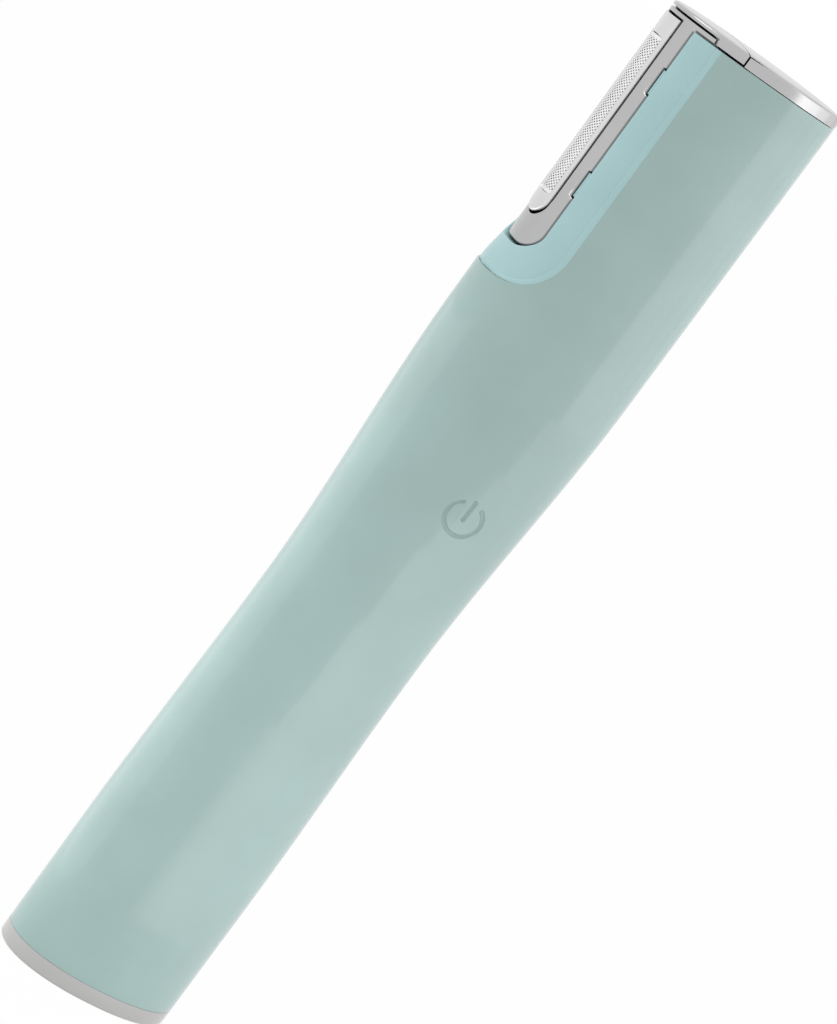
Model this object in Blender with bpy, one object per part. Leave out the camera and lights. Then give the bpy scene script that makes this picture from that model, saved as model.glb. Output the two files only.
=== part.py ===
"""Electric lady shaver: a slim oval wand with a linear foil cassette let into one edge.

Frame in metres: +Z runs up the wand from the centre of its base, the foil faces -X and the
button faces -Y. The two casing shells carry everything else: the battery in its sleeve, the
circuit board behind the button, and the motor in its cradle. The motor's crank drives a bridge
that slides along Z, and the bridge's post carries the blades under the foil.
"""
import math

import bmesh
import bpy
from mathutils import Vector

# Driving dimensions
BATTERY_DIAMETER, BATTERY_LENGTH = 0.0105, 0.0445
BOARD_LENGTH, BOARD_WIDTH, BOARD_THICKNESS = 0.0444, 0.0150, 0.0010
HOLDER_LENGTH, HOLDER_HALF_WIDTH = 0.0297, 0.0023
BASE_WIDTH, WAIST_WIDTH, SHOULDER_WIDTH = 0.0260, 0.0246, 0.0282
WAIST_THINNING, SHOULDER_SWELL = 0.0004, 0.0014
STRAIGHT_HEIGHT = 0.020
WALL = 0.0012
SEAM_PLACE = 0.0032
BASE_RING_HEIGHT = 0.0021
BAND_HEIGHT, CROWN_HEIGHT = 0.0013, 0.0005
BLADE_TRAVEL, FLOAT_TRAVEL, BUTTON_TRAVEL = 0.0008, 0.0005, 0.0005

# Clearances
GAP = 0.0003
OVERRUN = 0.001
SAME_PLACE = 0.00003

# Shape of the oval and fineness of the curves
OVAL_EXPONENT = 2.2
OVAL_POINTS = 40
SPAN_STEPS = 5
ROUND_SIDES = 20
ARC_STEPS = 5

# Battery bay, from the base cap's floor up
CAP_FLOOR = 0.0015
SKIRT_HEIGHT, SKIRT_WALL = 0.0042, 0.0010
PLATE_THICKNESS, PLATE_RADIUS = 0.0004, 0.0042
PLATE_FACE = CAP_FLOOR + GAP
BATTERY_SPRING_LENGTH, BATTERY_SPRING_WIRE = 0.0037, 0.00025
BATTERY_SPRING_START = PLATE_FACE + PLATE_THICKNESS + GAP
BATTERY_LOW = BATTERY_SPRING_START + BATTERY_SPRING_LENGTH + GAP
CONTACT_LOW = BATTERY_LOW + BATTERY_LENGTH + GAP
SLEEVE_WALL, SLEEVE_ROOM = 0.0006, 0.0005
SLEEVE_RADIUS = BATTERY_DIAMETER / 2 + GAP + SLEEVE_WALL
SLEEVE_LOW = BASE_RING_HEIGHT + SKIRT_HEIGHT + 2 * GAP
SLEEVE_HIGH = CONTACT_LOW + PLATE_THICKNESS + GAP + SLEEVE_WALL

# Board bay, neck and head, each standing on the one below
BOARD_STANDOFF = 0.0059
BOARD_LOW = SLEEVE_HIGH + BOARD_STANDOFF
BOARD_HIGH = BOARD_LOW + BOARD_LENGTH
BUTTON_RISE, BUTTON_SHIFT = 0.0012, 0.0016
BUTTON_HEIGHT = BOARD_LOW + BOARD_LENGTH / 2 + BUTTON_RISE
NECK_LENGTH, TRIM_SILL, FRAME_SILL = 0.0065, 0.0046, 0.0042
TRIM_LOW = BOARD_HIGH + NECK_LENGTH
FRAME_LOW = TRIM_LOW + TRIM_SILL
HOLDER_LOW = FRAME_LOW + FRAME_SILL
HOLDER_TOP = HOLDER_LOW + HOLDER_LENGTH
HEAD_CENTRE = HOLDER_LOW + HOLDER_LENGTH / 2
CASING_LOW = BASE_RING_HEIGHT + GAP
CASING_TOP = HOLDER_TOP
BAND_LOW = CASING_TOP + GAP
BAND_TOP = BAND_LOW + BAND_HEIGHT
BODY_LENGTH = BAND_TOP + CROWN_HEIGHT

# Depths and the heights where the outline turns
BASE_DEPTH = 2 * (SLEEVE_RADIUS + SLEEVE_ROOM + WALL)
WAIST_DEPTH = BASE_DEPTH - WAIST_THINNING
SHOULDER_DEPTH = BASE_DEPTH + SHOULDER_SWELL
BOARD_SETBACK = 0.00655
BOARD_FACE = BASE_DEPTH / 2 - BOARD_SETBACK
WAIST_RISE, SHOULDER_DROP = 0.0025, 0.0054
WAIST_HEIGHT = BOARD_LOW + WAIST_RISE
SHOULDER_HEIGHT = TRIM_LOW - SHOULDER_DROP

# Cassette, from the head's face inward
HEAD_SETBACK, HEAD_DEPTH_SETBACK = 0.00148, 0.0002
HEAD_FACE_HALF_WIDTH = SHOULDER_WIDTH / 2 - HEAD_SETBACK
HEAD_FACE_HALF_DEPTH = SHOULDER_DEPTH / 2 - HEAD_DEPTH_SETBACK
HOLDER_PROUD, FOIL_PROUD, FOIL_RISE, FOIL_SKIRT_LENGTH = 0.00035, 0.0003, 0.0012, 0.0015
HOLDER_CREST = HEAD_FACE_HALF_WIDTH + HOLDER_PROUD
FOIL_CREST = HOLDER_CREST + FOIL_PROUD
FOIL_SPRING_LINE = FOIL_CREST - FOIL_RISE
FOIL_SKIRT = FOIL_SPRING_LINE - FOIL_SKIRT_LENGTH
FOIL_THICKNESS, BLADE_GAP, BLADE_HEIGHT = 0.0002, 0.0002, 0.0022
BLADE_CREST = FOIL_CREST - FOIL_THICKNESS - BLADE_GAP
BLADE_FOOT = BLADE_CREST - BLADE_HEIGHT
CARRIER_THICKNESS, LEAF_ROOM, SEAT_THICKNESS = 0.0008, 0.0017, 0.0008
CARRIER_FACE = BLADE_FOOT - GAP
CARRIER_BACK = CARRIER_FACE - CARRIER_THICKNESS
SEAT_FACE = CARRIER_BACK - LEAF_ROOM
TRAY_FLOOR_FACE = SEAT_FACE - SEAT_THICKNESS - GAP
FRAME_BACK = TRAY_FLOOR_FACE + GAP
FRAME_RAIL_WIDTH = 0.00235
FRAME_HALF_WIDTH = HOLDER_HALF_WIDTH + FRAME_RAIL_WIDTH

# Drive, from the pocket's floor inward
TRAY_FLOOR, SEAL_THICKNESS, BRIDGE_THICKNESS = 0.0008, 0.0005, 0.0010
CAM_GAP, CAM_THICKNESS, CHASSIS_PLATE = 0.0005, 0.0012, 0.0010
SEAL_FACE = TRAY_FLOOR_FACE - TRAY_FLOOR - GAP
BRIDGE_FACE = SEAL_FACE - SEAL_THICKNESS - GAP
CAM_FACE = BRIDGE_FACE - BRIDGE_THICKNESS - CAM_GAP
CHASSIS_FACE = CAM_FACE - CAM_THICKNESS - CAM_GAP
MOTOR_FACE = -CHASSIS_FACE + CHASSIS_PLATE + GAP


# Surface finishes of the pieces: colour, roughness, metallic
SAGE = (0.33, 0.47, 0.44, 1), 0.42, 0
PALE_BLUE = (0.40, 0.58, 0.62, 1), 0.38, 0
CHROME = (0.75, 0.76, 0.78, 1), 0.15, 1
STEEL = (0.60, 0.61, 0.62, 1), 0.30, 1
PALE_GREY = (0.60, 0.60, 0.61, 1), 0.35, 0
WHITE_PLASTIC = (0.80, 0.80, 0.78, 1), 0.45, 0
DARK_PLASTIC = (0.05, 0.05, 0.06, 1), 0.50, 0
RUBBER = (0.03, 0.03, 0.03, 1), 0.80, 0
BRASS = (0.75, 0.55, 0.25, 1), 0.30, 1
BOARD_GREEN = (0.02, 0.18, 0.08, 1), 0.45, 0
BATTERY_BLUE = (0.05, 0.12, 0.30, 1), 0.35, 0
RED_LEAD = (0.45, 0.02, 0.02, 1), 0.55, 0
BLACK_LEAD = (0.02, 0.02, 0.02, 1), 0.55, 0


def finish(name, look):
    """Principled material of one piece."""
    colour, roughness, metallic = look
    material = bpy.data.materials.new(name)
    material.use_nodes = True
    shader = material.node_tree.nodes["Principled BSDF"]
    shader.inputs["Base Color"].default_value = colour
    shader.inputs["Roughness"].default_value = roughness
    shader.inputs["Metallic"].default_value = metallic
    return material


def solid(name, points, faces):
    """Closed mesh object from points and faces, with its faces turned outward."""
    mesh = bpy.data.meshes.new(name)
    mesh.from_pydata([tuple(point) for point in points], [], faces)
    work = bmesh.new()
    work.from_mesh(mesh)
    bmesh.ops.recalc_face_normals(work, faces=work.faces)
    work.to_mesh(mesh)
    work.free()
    thing = bpy.data.objects.new(name, mesh)
    bpy.context.collection.objects.link(thing)
    return thing


def loft(name, rings):
    """Solid through rings of equally many points, closed by a flat face at each end."""
    count = len(rings[0])
    points = [point for ring in rings for point in ring]
    faces = [tuple(reversed(range(count)))]
    for level in range(len(rings) - 1):
        low, high = level * count, (level + 1) * count
        faces += [(low + k, low + (k + 1) % count, high + (k + 1) % count, high + k)
                  for k in range(count)]
    faces.append(tuple(range(len(points) - count, len(points))))
    return solid(name, points, faces)


def place(axis, first, second, along):
    """Point from its two outline coordinates and its place along an axis."""
    return {"X": Vector((along, first, second)),
            "Y": Vector((first, along, second)),
            "Z": Vector((first, second, along))}[axis]


def prism(name, axis, outline, start, end):
    """Outline pulled along an axis: (y, z) along X, (x, z) along Y and (x, y) along Z."""
    return loft(name, [[place(axis, *pair, along) for pair in outline] for along in (start, end)])


def block(name, low, high):
    """Box between two corners."""
    outline = [(low[0], low[1]), (high[0], low[1]), (high[0], high[1]), (low[0], high[1])]
    return prism(name, "Z", outline, low[2], high[2])


def circle(centre, radius, sides=ROUND_SIDES):
    """Outline of a round."""
    turns = [2 * math.pi * (k + 0.5) / sides for k in range(sides)]
    return [(centre[0] + radius * math.cos(turn), centre[1] + radius * math.sin(turn))
            for turn in turns]


def rod(name, axis, centre, radius, start, end, sides=ROUND_SIDES):
    """Round bar along an axis."""
    return prism(name, axis, circle(centre, radius, sides), start, end)


def cradle_outline(half_width, low, high, corner):
    """Upright outline in Y and Z with a flat top and rounded lower corners."""
    points = [(-half_width, high), (half_width, high)]
    for side, first in ((1, 0), (-1, 90)):
        for step in range(ARC_STEPS + 1):
            turn = math.radians(first + 90 * step / ARC_STEPS)
            points.append((side * (half_width - corner) + corner * math.cos(turn),
                           low + corner - corner * math.sin(turn)))
    kept = []
    for point in points:
        if not kept or math.dist(point, kept[-1]) > SAME_PLACE:
            kept.append(point)
    return kept


def combine(target, tool, operation):
    """Boolean of two solids, which keeps the first one and uses up the other."""
    change = target.modifiers.new("change", "BOOLEAN")
    change.operation = operation
    change.solver = "EXACT"
    change.object = tool
    changed = bpy.data.meshes.new_from_object(
        target.evaluated_get(bpy.context.evaluated_depsgraph_get()))
    target.modifiers.clear()
    target.data = changed
    bpy.data.objects.remove(tool)
    return target


def cut(target, tool):
    return combine(target, tool, "DIFFERENCE")


def join(target, tool):
    return combine(target, tool, "UNION")


def common(target, tool):
    return combine(target, tool, "INTERSECT")


def piece(thing, name, look, pivot=(0, 0, 0), sharp_angle=35):
    """Names a finished solid, gives it its material and puts its origin on its joint."""
    thing.name = name
    thing.data.name = name
    thing.data.materials.clear()
    thing.data.materials.append(finish(name, look))
    offset = Vector(pivot)
    for vertex in thing.data.vertices:
        vertex.co -= offset
    thing.location = offset
    thing.data.shade_smooth()
    thing.data.set_sharp_from_angle(angle=math.radians(sharp_angle))
    return thing


# The oval body

def eased(low, high, share):
    """Smooth step between two values."""
    share = min(max(share, 0), 1)
    return low + (high - low) * share * share * (3 - 2 * share)


def body_half_sizes(height):
    """Half width and half depth of the outer oval at a height."""
    if height < WAIST_HEIGHT:
        share = (height - STRAIGHT_HEIGHT) / (WAIST_HEIGHT - STRAIGHT_HEIGHT)
        return eased(BASE_WIDTH, WAIST_WIDTH, share) / 2, eased(BASE_DEPTH, WAIST_DEPTH, share) / 2
    share = (height - WAIST_HEIGHT) / (SHOULDER_HEIGHT - WAIST_HEIGHT)
    return (eased(WAIST_WIDTH, SHOULDER_WIDTH, share) / 2,
            eased(WAIST_DEPTH, SHOULDER_DEPTH, share) / 2)


def oval_ring(half_width, half_depth, height, left_half_width=None):
    """Superellipse at a height, whose left half may have a half width of its own."""
    ring = []
    for k in range(OVAL_POINTS):
        turn = 2 * math.pi * k / OVAL_POINTS
        across, deep = math.cos(turn), math.sin(turn)
        width = left_half_width if left_half_width and across < 0 else half_width
        ring.append(Vector((math.copysign(abs(across) ** (2 / OVAL_EXPONENT), across) * width,
                            math.copysign(abs(deep) ** (2 / OVAL_EXPONENT), deep) * half_depth,
                            height)))
    return ring


def oval_reach(half_size, other_half, other_place):
    """How far the oval reaches along one direction at a place along the other."""
    share = 1 - (abs(other_place) / other_half) ** OVAL_EXPONENT
    return half_size * share ** (1 / OVAL_EXPONENT)


def envelope_heights(low, high):
    """Ring heights between two ends, closer where the body curves."""
    knees = [STRAIGHT_HEIGHT, WAIST_HEIGHT, SHOULDER_HEIGHT]
    heights = [low, high]
    for start, end in zip(knees, knees[1:]):
        heights += [start + (end - start) * step / SPAN_STEPS for step in range(SPAN_STEPS + 1)]
    return sorted({height for height in heights if low <= height <= high})


def envelope(name, inset, low, high):
    """Body of the wand between two heights, drawn in all round by an inset."""
    rings = []
    for height in envelope_heights(low, high):
        half_width, half_depth = body_half_sizes(height)
        rings.append(oval_ring(half_width - inset, half_depth - inset, height))
    return loft(name, rings)


def wall_front(height, across=0):
    """Y of the inner face of the front wall at a height, negative like the wall itself."""
    half_width, half_depth = body_half_sizes(height)
    return -oval_reach(half_depth - WALL, half_width - WALL, across)


TRIM_REACH, TRIM_CORNER_HEIGHT = 0.00637, 0.0071
TRIM_EDGE = SHOULDER_WIDTH / 2 - TRIM_REACH


def trim_profile(grow):
    """Outline in X and Z of the head surround, with its rounded lower corner."""
    half_width = SHOULDER_WIDTH / 2
    corner_width = half_width - TRIM_EDGE + grow
    corner_height = TRIM_CORNER_HEIGHT + grow
    outer = -half_width - OVERRUN
    points = [(outer, BODY_LENGTH), (-TRIM_EDGE + grow, BODY_LENGTH)]
    for step in range(2 * ARC_STEPS + 1):
        turn = math.pi / 2 * step / (2 * ARC_STEPS)
        points.append((-half_width + corner_width * math.cos(turn),
                       TRIM_LOW - grow + corner_height * (1 - math.sin(turn))))
    return points + [(outer, TRIM_LOW - grow)]


# Casing shells
RIB = 0.0010
BOSS_RADIUS = 0.0023
BOARD_SCREW_EDGE = 0.0035
SCREW_RADIUS = 0.0009
SCREW_HEAD_RADIUS, SCREW_HEAD_HEIGHT = 0.0016, 0.0010
SCREW_LENGTH = 0.0060
BUTTON_RADIUS = 0.0040
BOARD_SCREW_HEIGHTS = BOARD_LOW + BOARD_SCREW_EDGE, BOARD_HIGH - BOARD_SCREW_EDGE
SLEEVE_RIB_SHARES = 0.20, 0.80
TONGUE_SHARES = 0.18, 0.40, 0.66
TONGUE_ROOT_SHARE = 0.5
TONGUE_REACH = 0.0018
TONGUE_HALF_LENGTH = 0.0020


def shell(name):
    """Open-ended outer wall of the whole body."""
    hollow = envelope("hollow", WALL, CASING_LOW - GAP, BAND_LOW)
    return cut(envelope(name, 0, CASING_LOW, CASING_TOP), hollow)


def half_space(front):
    """Block in front of the seam, or behind it with the seam's gap."""
    reach = SHOULDER_DEPTH
    if front:
        return block("front", (-SHOULDER_WIDTH, -reach, 0), (SHOULDER_WIDTH, SEAM_PLACE, BODY_LENGTH))
    return block("back", (-SHOULDER_WIDTH, SEAM_PLACE + GAP, 0), (SHOULDER_WIDTH, reach, BODY_LENGTH))


def head_opening():
    """Cutter for the place of the head surround, with its gap all round."""
    return prism("head_opening", "Y", trim_profile(GAP), -SHOULDER_DEPTH, SHOULDER_DEPTH)


def wall_rib(low, high):
    """Rib that grows out of the middle of the wall."""
    return common(block("rib", low, high), envelope("limit", WALL / 2, CASING_LOW, CASING_TOP))


def front_casing():
    casing = common(shell("front_casing"), half_space(True))
    casing = cut(casing, head_opening())
    casing = cut(casing, rod("button_hole", "Y", (BUTTON_SHIFT, BUTTON_HEIGHT), BUTTON_RADIUS + GAP,
                             -SHOULDER_DEPTH, 0, 2 * ROUND_SIDES))
    for share in SLEEVE_RIB_SHARES:
        height = SLEEVE_LOW + (SLEEVE_HIGH - SLEEVE_LOW) * share
        rib = wall_rib((-SLEEVE_RADIUS, -BASE_DEPTH, height),
                       (SLEEVE_RADIUS, -SLEEVE_RADIUS / 2, height + RIB))
        rib = cut(rib, rod("sleeve_seat", "Z", (0, 0), SLEEVE_RADIUS + GAP, 0, BODY_LENGTH))
        casing = join(casing, rib)
    for height in BOARD_SCREW_HEIGHTS:
        boss = rod("boss", "Y", (0, height), BOSS_RADIUS, -SHOULDER_DEPTH / 2, -BOARD_FACE - GAP)
        boss = common(boss, envelope("limit", WALL / 2, CASING_LOW, CASING_TOP))
        boss = cut(boss, rod("screw_hole", "Y", (0, height), SCREW_RADIUS + GAP,
                             -BOARD_FACE - SCREW_LENGTH, OVERRUN))
        casing = join(casing, boss)
    for low, high in CHASSIS_RIBS:
        casing = join(casing, wall_rib(low, high))
    return piece(casing, "front_casing", SAGE)


def rear_cover():
    cover = common(shell("rear_cover"), half_space(False))
    cover = cut(cover, head_opening())
    for share in TONGUE_SHARES:
        height = CASING_TOP * share
        half_width, half_depth = body_half_sizes(height)
        root_place = SEAM_PLACE + (half_depth - WALL - SEAM_PLACE) * TONGUE_ROOT_SHARE
        root = oval_reach(half_width - WALL, half_depth - WALL, root_place)
        for side in (-1, 1):
            inner, outer = sorted((side * (root - RIB / 2), side * (root + RIB / 2)))
            tongue = wall_rib((inner, SEAM_PLACE - TONGUE_REACH, height - TONGUE_HALF_LENGTH),
                              (outer, SHOULDER_DEPTH / 2, height + TONGUE_HALF_LENGTH))
            cover = join(cover, tongue)
    return piece(cover, "rear_cover", SAGE)


# Head surround: band behind the opening's edge and a tray for the cassette
SURROUND_RECESS, SURROUND_SWELL = 0.0003, 0.0001
SURROUND_THICKNESS = 0.0012
RAMP_HEIGHT = 0.0075
TRAY_WALL = 0.0009
FRAME_CORNER = 0.0030
POST_HALF_WIDTH, POST_HALF_LENGTH = 0.0010, 0.0012
CLIP_SHARES = 0.22, 0.742
CLIP_HALF_HEIGHT, CLIP_DEPTH = 0.0020, 0.0005
CLIP_HEIGHTS = tuple(HOLDER_LOW + HOLDER_LENGTH * share for share in CLIP_SHARES)
GUIDE_RIB_DEPTH, GUIDE_RIB_LENGTH = 0.00045, 0.0034


def surround_rings(inset):
    """Rings of the recessed head surface, which ramps out to the casing at its lower end."""
    rings = []
    edge_width, edge_depth = SHOULDER_WIDTH / 2 - SURROUND_RECESS, SHOULDER_DEPTH / 2 + SURROUND_SWELL
    low = TRIM_LOW - GAP
    for step in range(SPAN_STEPS + 1):
        share = step / SPAN_STEPS
        rings.append(oval_ring(eased(edge_width, HEAD_FACE_HALF_WIDTH + SURROUND_RECESS, share) - inset,
                               edge_depth - inset, low + RAMP_HEIGHT * share))
    rings.append(oval_ring(HEAD_FACE_HALF_WIDTH + SURROUND_RECESS - inset, edge_depth - inset,
                           CASING_TOP))
    return rings


def head_surround():
    band = prism("head_surround", "Y", trim_profile(0), -SHOULDER_DEPTH, SHOULDER_DEPTH)
    inside = surround_rings(SURROUND_THICKNESS)
    inside[0] = [point - Vector((0, 0, OVERRUN)) for point in inside[0]]
    inside[-1] = [point + Vector((0, 0, SHOULDER_WIDTH)) for point in inside[-1]]
    band = cut(band, loft("inside", inside))
    wall = GAP + TRAY_WALL
    tray = prism("tray", "X", cradle_outline(FRAME_HALF_WIDTH + wall, FRAME_LOW - wall,
                                             BODY_LENGTH, FRAME_CORNER + wall),
                 -SHOULDER_WIDTH, -TRAY_FLOOR_FACE + TRAY_FLOOR)
    surround = common(join(band, tray), loft("surface", surround_rings(0)))
    wall_room = block("wall_room", (-TRIM_EDGE, -SHOULDER_DEPTH, 0), (0, SHOULDER_DEPTH, BODY_LENGTH))
    surround = cut(surround, cut(wall_room, envelope("limit", WALL + GAP, 0, CASING_TOP + OVERRUN)))
    pocket = prism("pocket", "X", cradle_outline(FRAME_HALF_WIDTH + GAP, FRAME_LOW - GAP,
                                                 BODY_LENGTH, FRAME_CORNER + GAP),
                   -SHOULDER_WIDTH, -TRAY_FLOOR_FACE)
    surround = cut(surround, pocket)
    wall_face = FRAME_HALF_WIDTH + GAP
    for height in CLIP_HEIGHTS:
        for side in (-1, 1):
            inner, outer = sorted((side * (wall_face - GUIDE_RIB_DEPTH),
                                   side * (wall_face + TRAY_WALL / 2)))
            rib = block("guide_rib", (-TRAY_FLOOR_FACE - GUIDE_RIB_LENGTH, inner,
                                      height - CLIP_HALF_HEIGHT + GAP),
                        (-TRAY_FLOOR_FACE + TRAY_FLOOR / 2, outer, height + CLIP_HALF_HEIGHT - GAP))
            surround = join(surround, rib)
    surround = cut(surround, post_slot(-SHOULDER_WIDTH, 0))
    return piece(surround, "head_surround", PALE_BLUE)


def post_slot(start, end):
    """Cutter that the bridge's post moves in."""
    half_width, half_length = POST_HALF_WIDTH + GAP, POST_HALF_LENGTH + BLADE_TRAVEL + GAP
    return block("post_slot", (start, -half_width, HEAD_CENTRE - half_length),
                 (end, half_width, HEAD_CENTRE + half_length))


# Cassette: frame, its cap, the floating foil holder and the foil
FRAME_WALL = 0.0009
FRAME_FACE = 0.0010
FLANGE_THICKNESS, FLANGE_SETBACK = 0.0005, 0.00102
FLANGE_EDGE = TRIM_EDGE + FLANGE_SETBACK
FLANGE_LOW = CASING_TOP + GAP
SEAT_BAR_DEPTH, SEAT_BAR_HEIGHT, SEAT_BAR_INSET = 0.0007, 0.0022, 0.00155
SEAT_BAR_HEIGHTS = tuple(HEAD_CENTRE + side * (HOLDER_LENGTH / 2 - SEAT_BAR_INSET) for side in (-1, 1))
HOLDER_FLANGE = 0.0007
HOLDER_FLANGE_HALF_WIDTH = 0.0030
HOLDER_FLANGE_FACE = oval_reach(HEAD_FACE_HALF_WIDTH - FRAME_FACE, HEAD_FACE_HALF_DEPTH - FRAME_FACE,
                                HOLDER_FLANGE_HALF_WIDTH) - GAP
HOLDER_FLANGE_OVERLAP = 0.0009
HOLDER_WINDOW_HALF_WIDTH = 0.0018
HOLDER_END = 0.0030
HOLDER_EDGE_ROUND = 0.0014


def head_face(inset):
    """Surface of the cassette frame's face, or one further in."""
    return loft("head_face", [oval_ring(HEAD_FACE_HALF_WIDTH - inset, HEAD_FACE_HALF_DEPTH - inset,
                                        height) for height in (0, 2 * BODY_LENGTH)])


def cassette_frame():
    frame = prism("cassette_frame", "X",
                  cradle_outline(FRAME_HALF_WIDTH, FRAME_LOW, FLANGE_LOW + FLANGE_THICKNESS / 2,
                                 FRAME_CORNER), -SHOULDER_WIDTH, -FRAME_BACK)
    frame = common(frame, head_face(0))
    hollow = prism("hollow", "X",
                   cradle_outline(FRAME_HALF_WIDTH - FRAME_WALL, FRAME_LOW + FRAME_WALL,
                                  BODY_LENGTH, FRAME_CORNER - FRAME_WALL), -SHOULDER_WIDTH, 0)
    frame = cut(frame, common(hollow, head_face(FRAME_FACE)))
    slot_half = HOLDER_HALF_WIDTH + GAP
    slot = prism("slot", "X", cradle_outline(slot_half, HOLDER_LOW - GAP, BODY_LENGTH, slot_half),
                 -SHOULDER_WIDTH, -FRAME_BACK)
    frame = cut(frame, slot)
    for height in SEAT_BAR_HEIGHTS:
        reach = FRAME_HALF_WIDTH - FRAME_WALL / 2 - CLIP_DEPTH / 2
        bar = block("seat_bar", (-FRAME_BACK - SEAT_BAR_DEPTH, -reach, height - SEAT_BAR_HEIGHT / 2),
                    (-FRAME_BACK, reach, height + SEAT_BAR_HEIGHT / 2))
        frame = join(frame, bar)
    for height in CLIP_HEIGHTS:
        for side in (-1, 1):
            inner, outer = sorted((side * (FRAME_HALF_WIDTH - CLIP_DEPTH), side * SHOULDER_DEPTH))
            notch = block("clip_notch", (-SHOULDER_WIDTH, inner, height - CLIP_HALF_HEIGHT),
                          (0, outer, height + CLIP_HALF_HEIGHT))
            frame = cut(frame, notch)
    frame = cut(frame, block("cap_room", (-FLANGE_EDGE, -SHOULDER_DEPTH, CASING_TOP),
                             (0, SHOULDER_DEPTH, BODY_LENGTH)))
    flange = band_slab("flange", FLANGE_LOW, FLANGE_LOW + FLANGE_THICKNESS, -FLANGE_EDGE)
    return piece(join(frame, flange), "cassette_frame", CHROME)


def band_ring(inset, height, size=1):
    """Outline of the chrome top band: the body's, drawn in to the head's face on its left."""
    return oval_ring((SHOULDER_WIDTH / 2 - inset) * size, (SHOULDER_DEPTH / 2 - inset) * size,
                     height, (HEAD_FACE_HALF_WIDTH - inset) * size)


def band_slab(name, low, high, right):
    """Slab of the top band's outline between two heights, from its left end to a place along X."""
    slab = loft(name, [band_ring(0, height) for height in (low, high)])
    reach = SHOULDER_DEPTH
    return common(slab, block("side", (-SHOULDER_WIDTH, -reach, 0), (right, reach, 2 * BODY_LENGTH)))


def foil_holder():
    half_width = HOLDER_HALF_WIDTH
    rail = prism("foil_holder", "X", cradle_outline(half_width, HOLDER_LOW, HOLDER_TOP, half_width),
                 -HOLDER_CREST, -HOLDER_FLANGE_FACE + HOLDER_FLANGE / 2)
    round_front_edge(rail, -HOLDER_CREST, HOLDER_EDGE_ROUND)
    flange_half = HOLDER_FLANGE_HALF_WIDTH
    flange = prism("flange", "X",
                   cradle_outline(flange_half, HOLDER_LOW - HOLDER_FLANGE_OVERLAP, HOLDER_TOP,
                                  flange_half), -HOLDER_FLANGE_FACE, -HOLDER_FLANGE_FACE + HOLDER_FLANGE)
    holder = join(rail, flange)
    window = block("window", (-SHOULDER_WIDTH, -HOLDER_WINDOW_HALF_WIDTH, HOLDER_LOW + HOLDER_END),
                   (0, HOLDER_WINDOW_HALF_WIDTH, HOLDER_TOP - HOLDER_END))
    return piece(cut(holder, window), "foil_holder", CHROME)


def round_front_edge(thing, face_place, radius):
    """Rounds the rim of the face that lies at a place along X, but not its top end."""
    work = bmesh.new()
    work.from_mesh(thing.data)
    rim = [edge for edge in work.edges
           if all(abs(vertex.co.x - face_place) < SAME_PLACE for vertex in edge.verts)
           and min(vertex.co.z for vertex in edge.verts) < HOLDER_TOP - SAME_PLACE]
    bmesh.ops.bevel(work, geom=rim, offset=radius, segments=ARC_STEPS, profile=0.5,
                    affect="EDGES", clamp_overlap=True)
    work.to_mesh(thing.data)
    work.free()


FOIL_HALF_WIDTH = HOLDER_WINDOW_HALF_WIDTH - GAP
FOIL_ARCH_STEPS = 8
FOIL_WINDOW_COUNT = 21
FOIL_LOW, FOIL_HIGH = HOLDER_LOW + HOLDER_END + GAP, HOLDER_TOP - HOLDER_END - GAP


def arch_points(half_width, foot, crest, steps):
    """Half ellipse in Y and X, from one side to the other."""
    turns = [math.pi * step / steps for step in range(steps + 1)]
    return [(half_width * math.cos(turn), -foot - (crest - foot) * math.sin(turn)) for turn in turns]


def shaving_foil():
    arch = arch_points(FOIL_HALF_WIDTH, FOIL_SPRING_LINE, FOIL_CREST, FOIL_ARCH_STEPS)
    section = [(FOIL_HALF_WIDTH, -FOIL_SKIRT)] + arch + [(-FOIL_HALF_WIDTH, -FOIL_SKIRT)]
    rows = 2 * FOIL_WINDOW_COUNT + 1
    points = [Vector((along, across, FOIL_LOW + (FOIL_HIGH - FOIL_LOW) * row / rows))
              for row in range(rows + 1) for across, along in section]
    width = len(section)
    faces = []
    for row in range(rows):
        for column in range(width - 1):
            window = row % 2 == 1 and column in range(2, width - 2, 2)
            if not window:
                first = row * width + column
                faces.append((first, first + 1, first + width + 1, first + width))
    foil = solid("shaving_foil", points, faces)
    sheet = foil.modifiers.new("sheet", "SOLIDIFY")
    sheet.thickness = FOIL_THICKNESS
    sheet.offset = -1 if foil_faces_out(foil) else 1
    return piece(foil, "shaving_foil", STEEL)


def foil_faces_out(foil):
    """Whether the crest of an open sheet faces away from the body."""
    crest = min(foil.data.polygons, key=lambda face: face.center.x)
    return crest.normal.x < 0


CAP_SPLIT_REACH = 0.00323
CAP_SPLIT = TRIM_EDGE - CAP_SPLIT_REACH
CAP_TONGUE = 0.0007
CAP_EDGE = 0.0002
CAP_PLUG_DEPTH = 0.0024
CAP_PLUG_WALL = 0.0012
CROWN_STEPS = 4
CROWN_TIP_SHARE = 0.1


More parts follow.
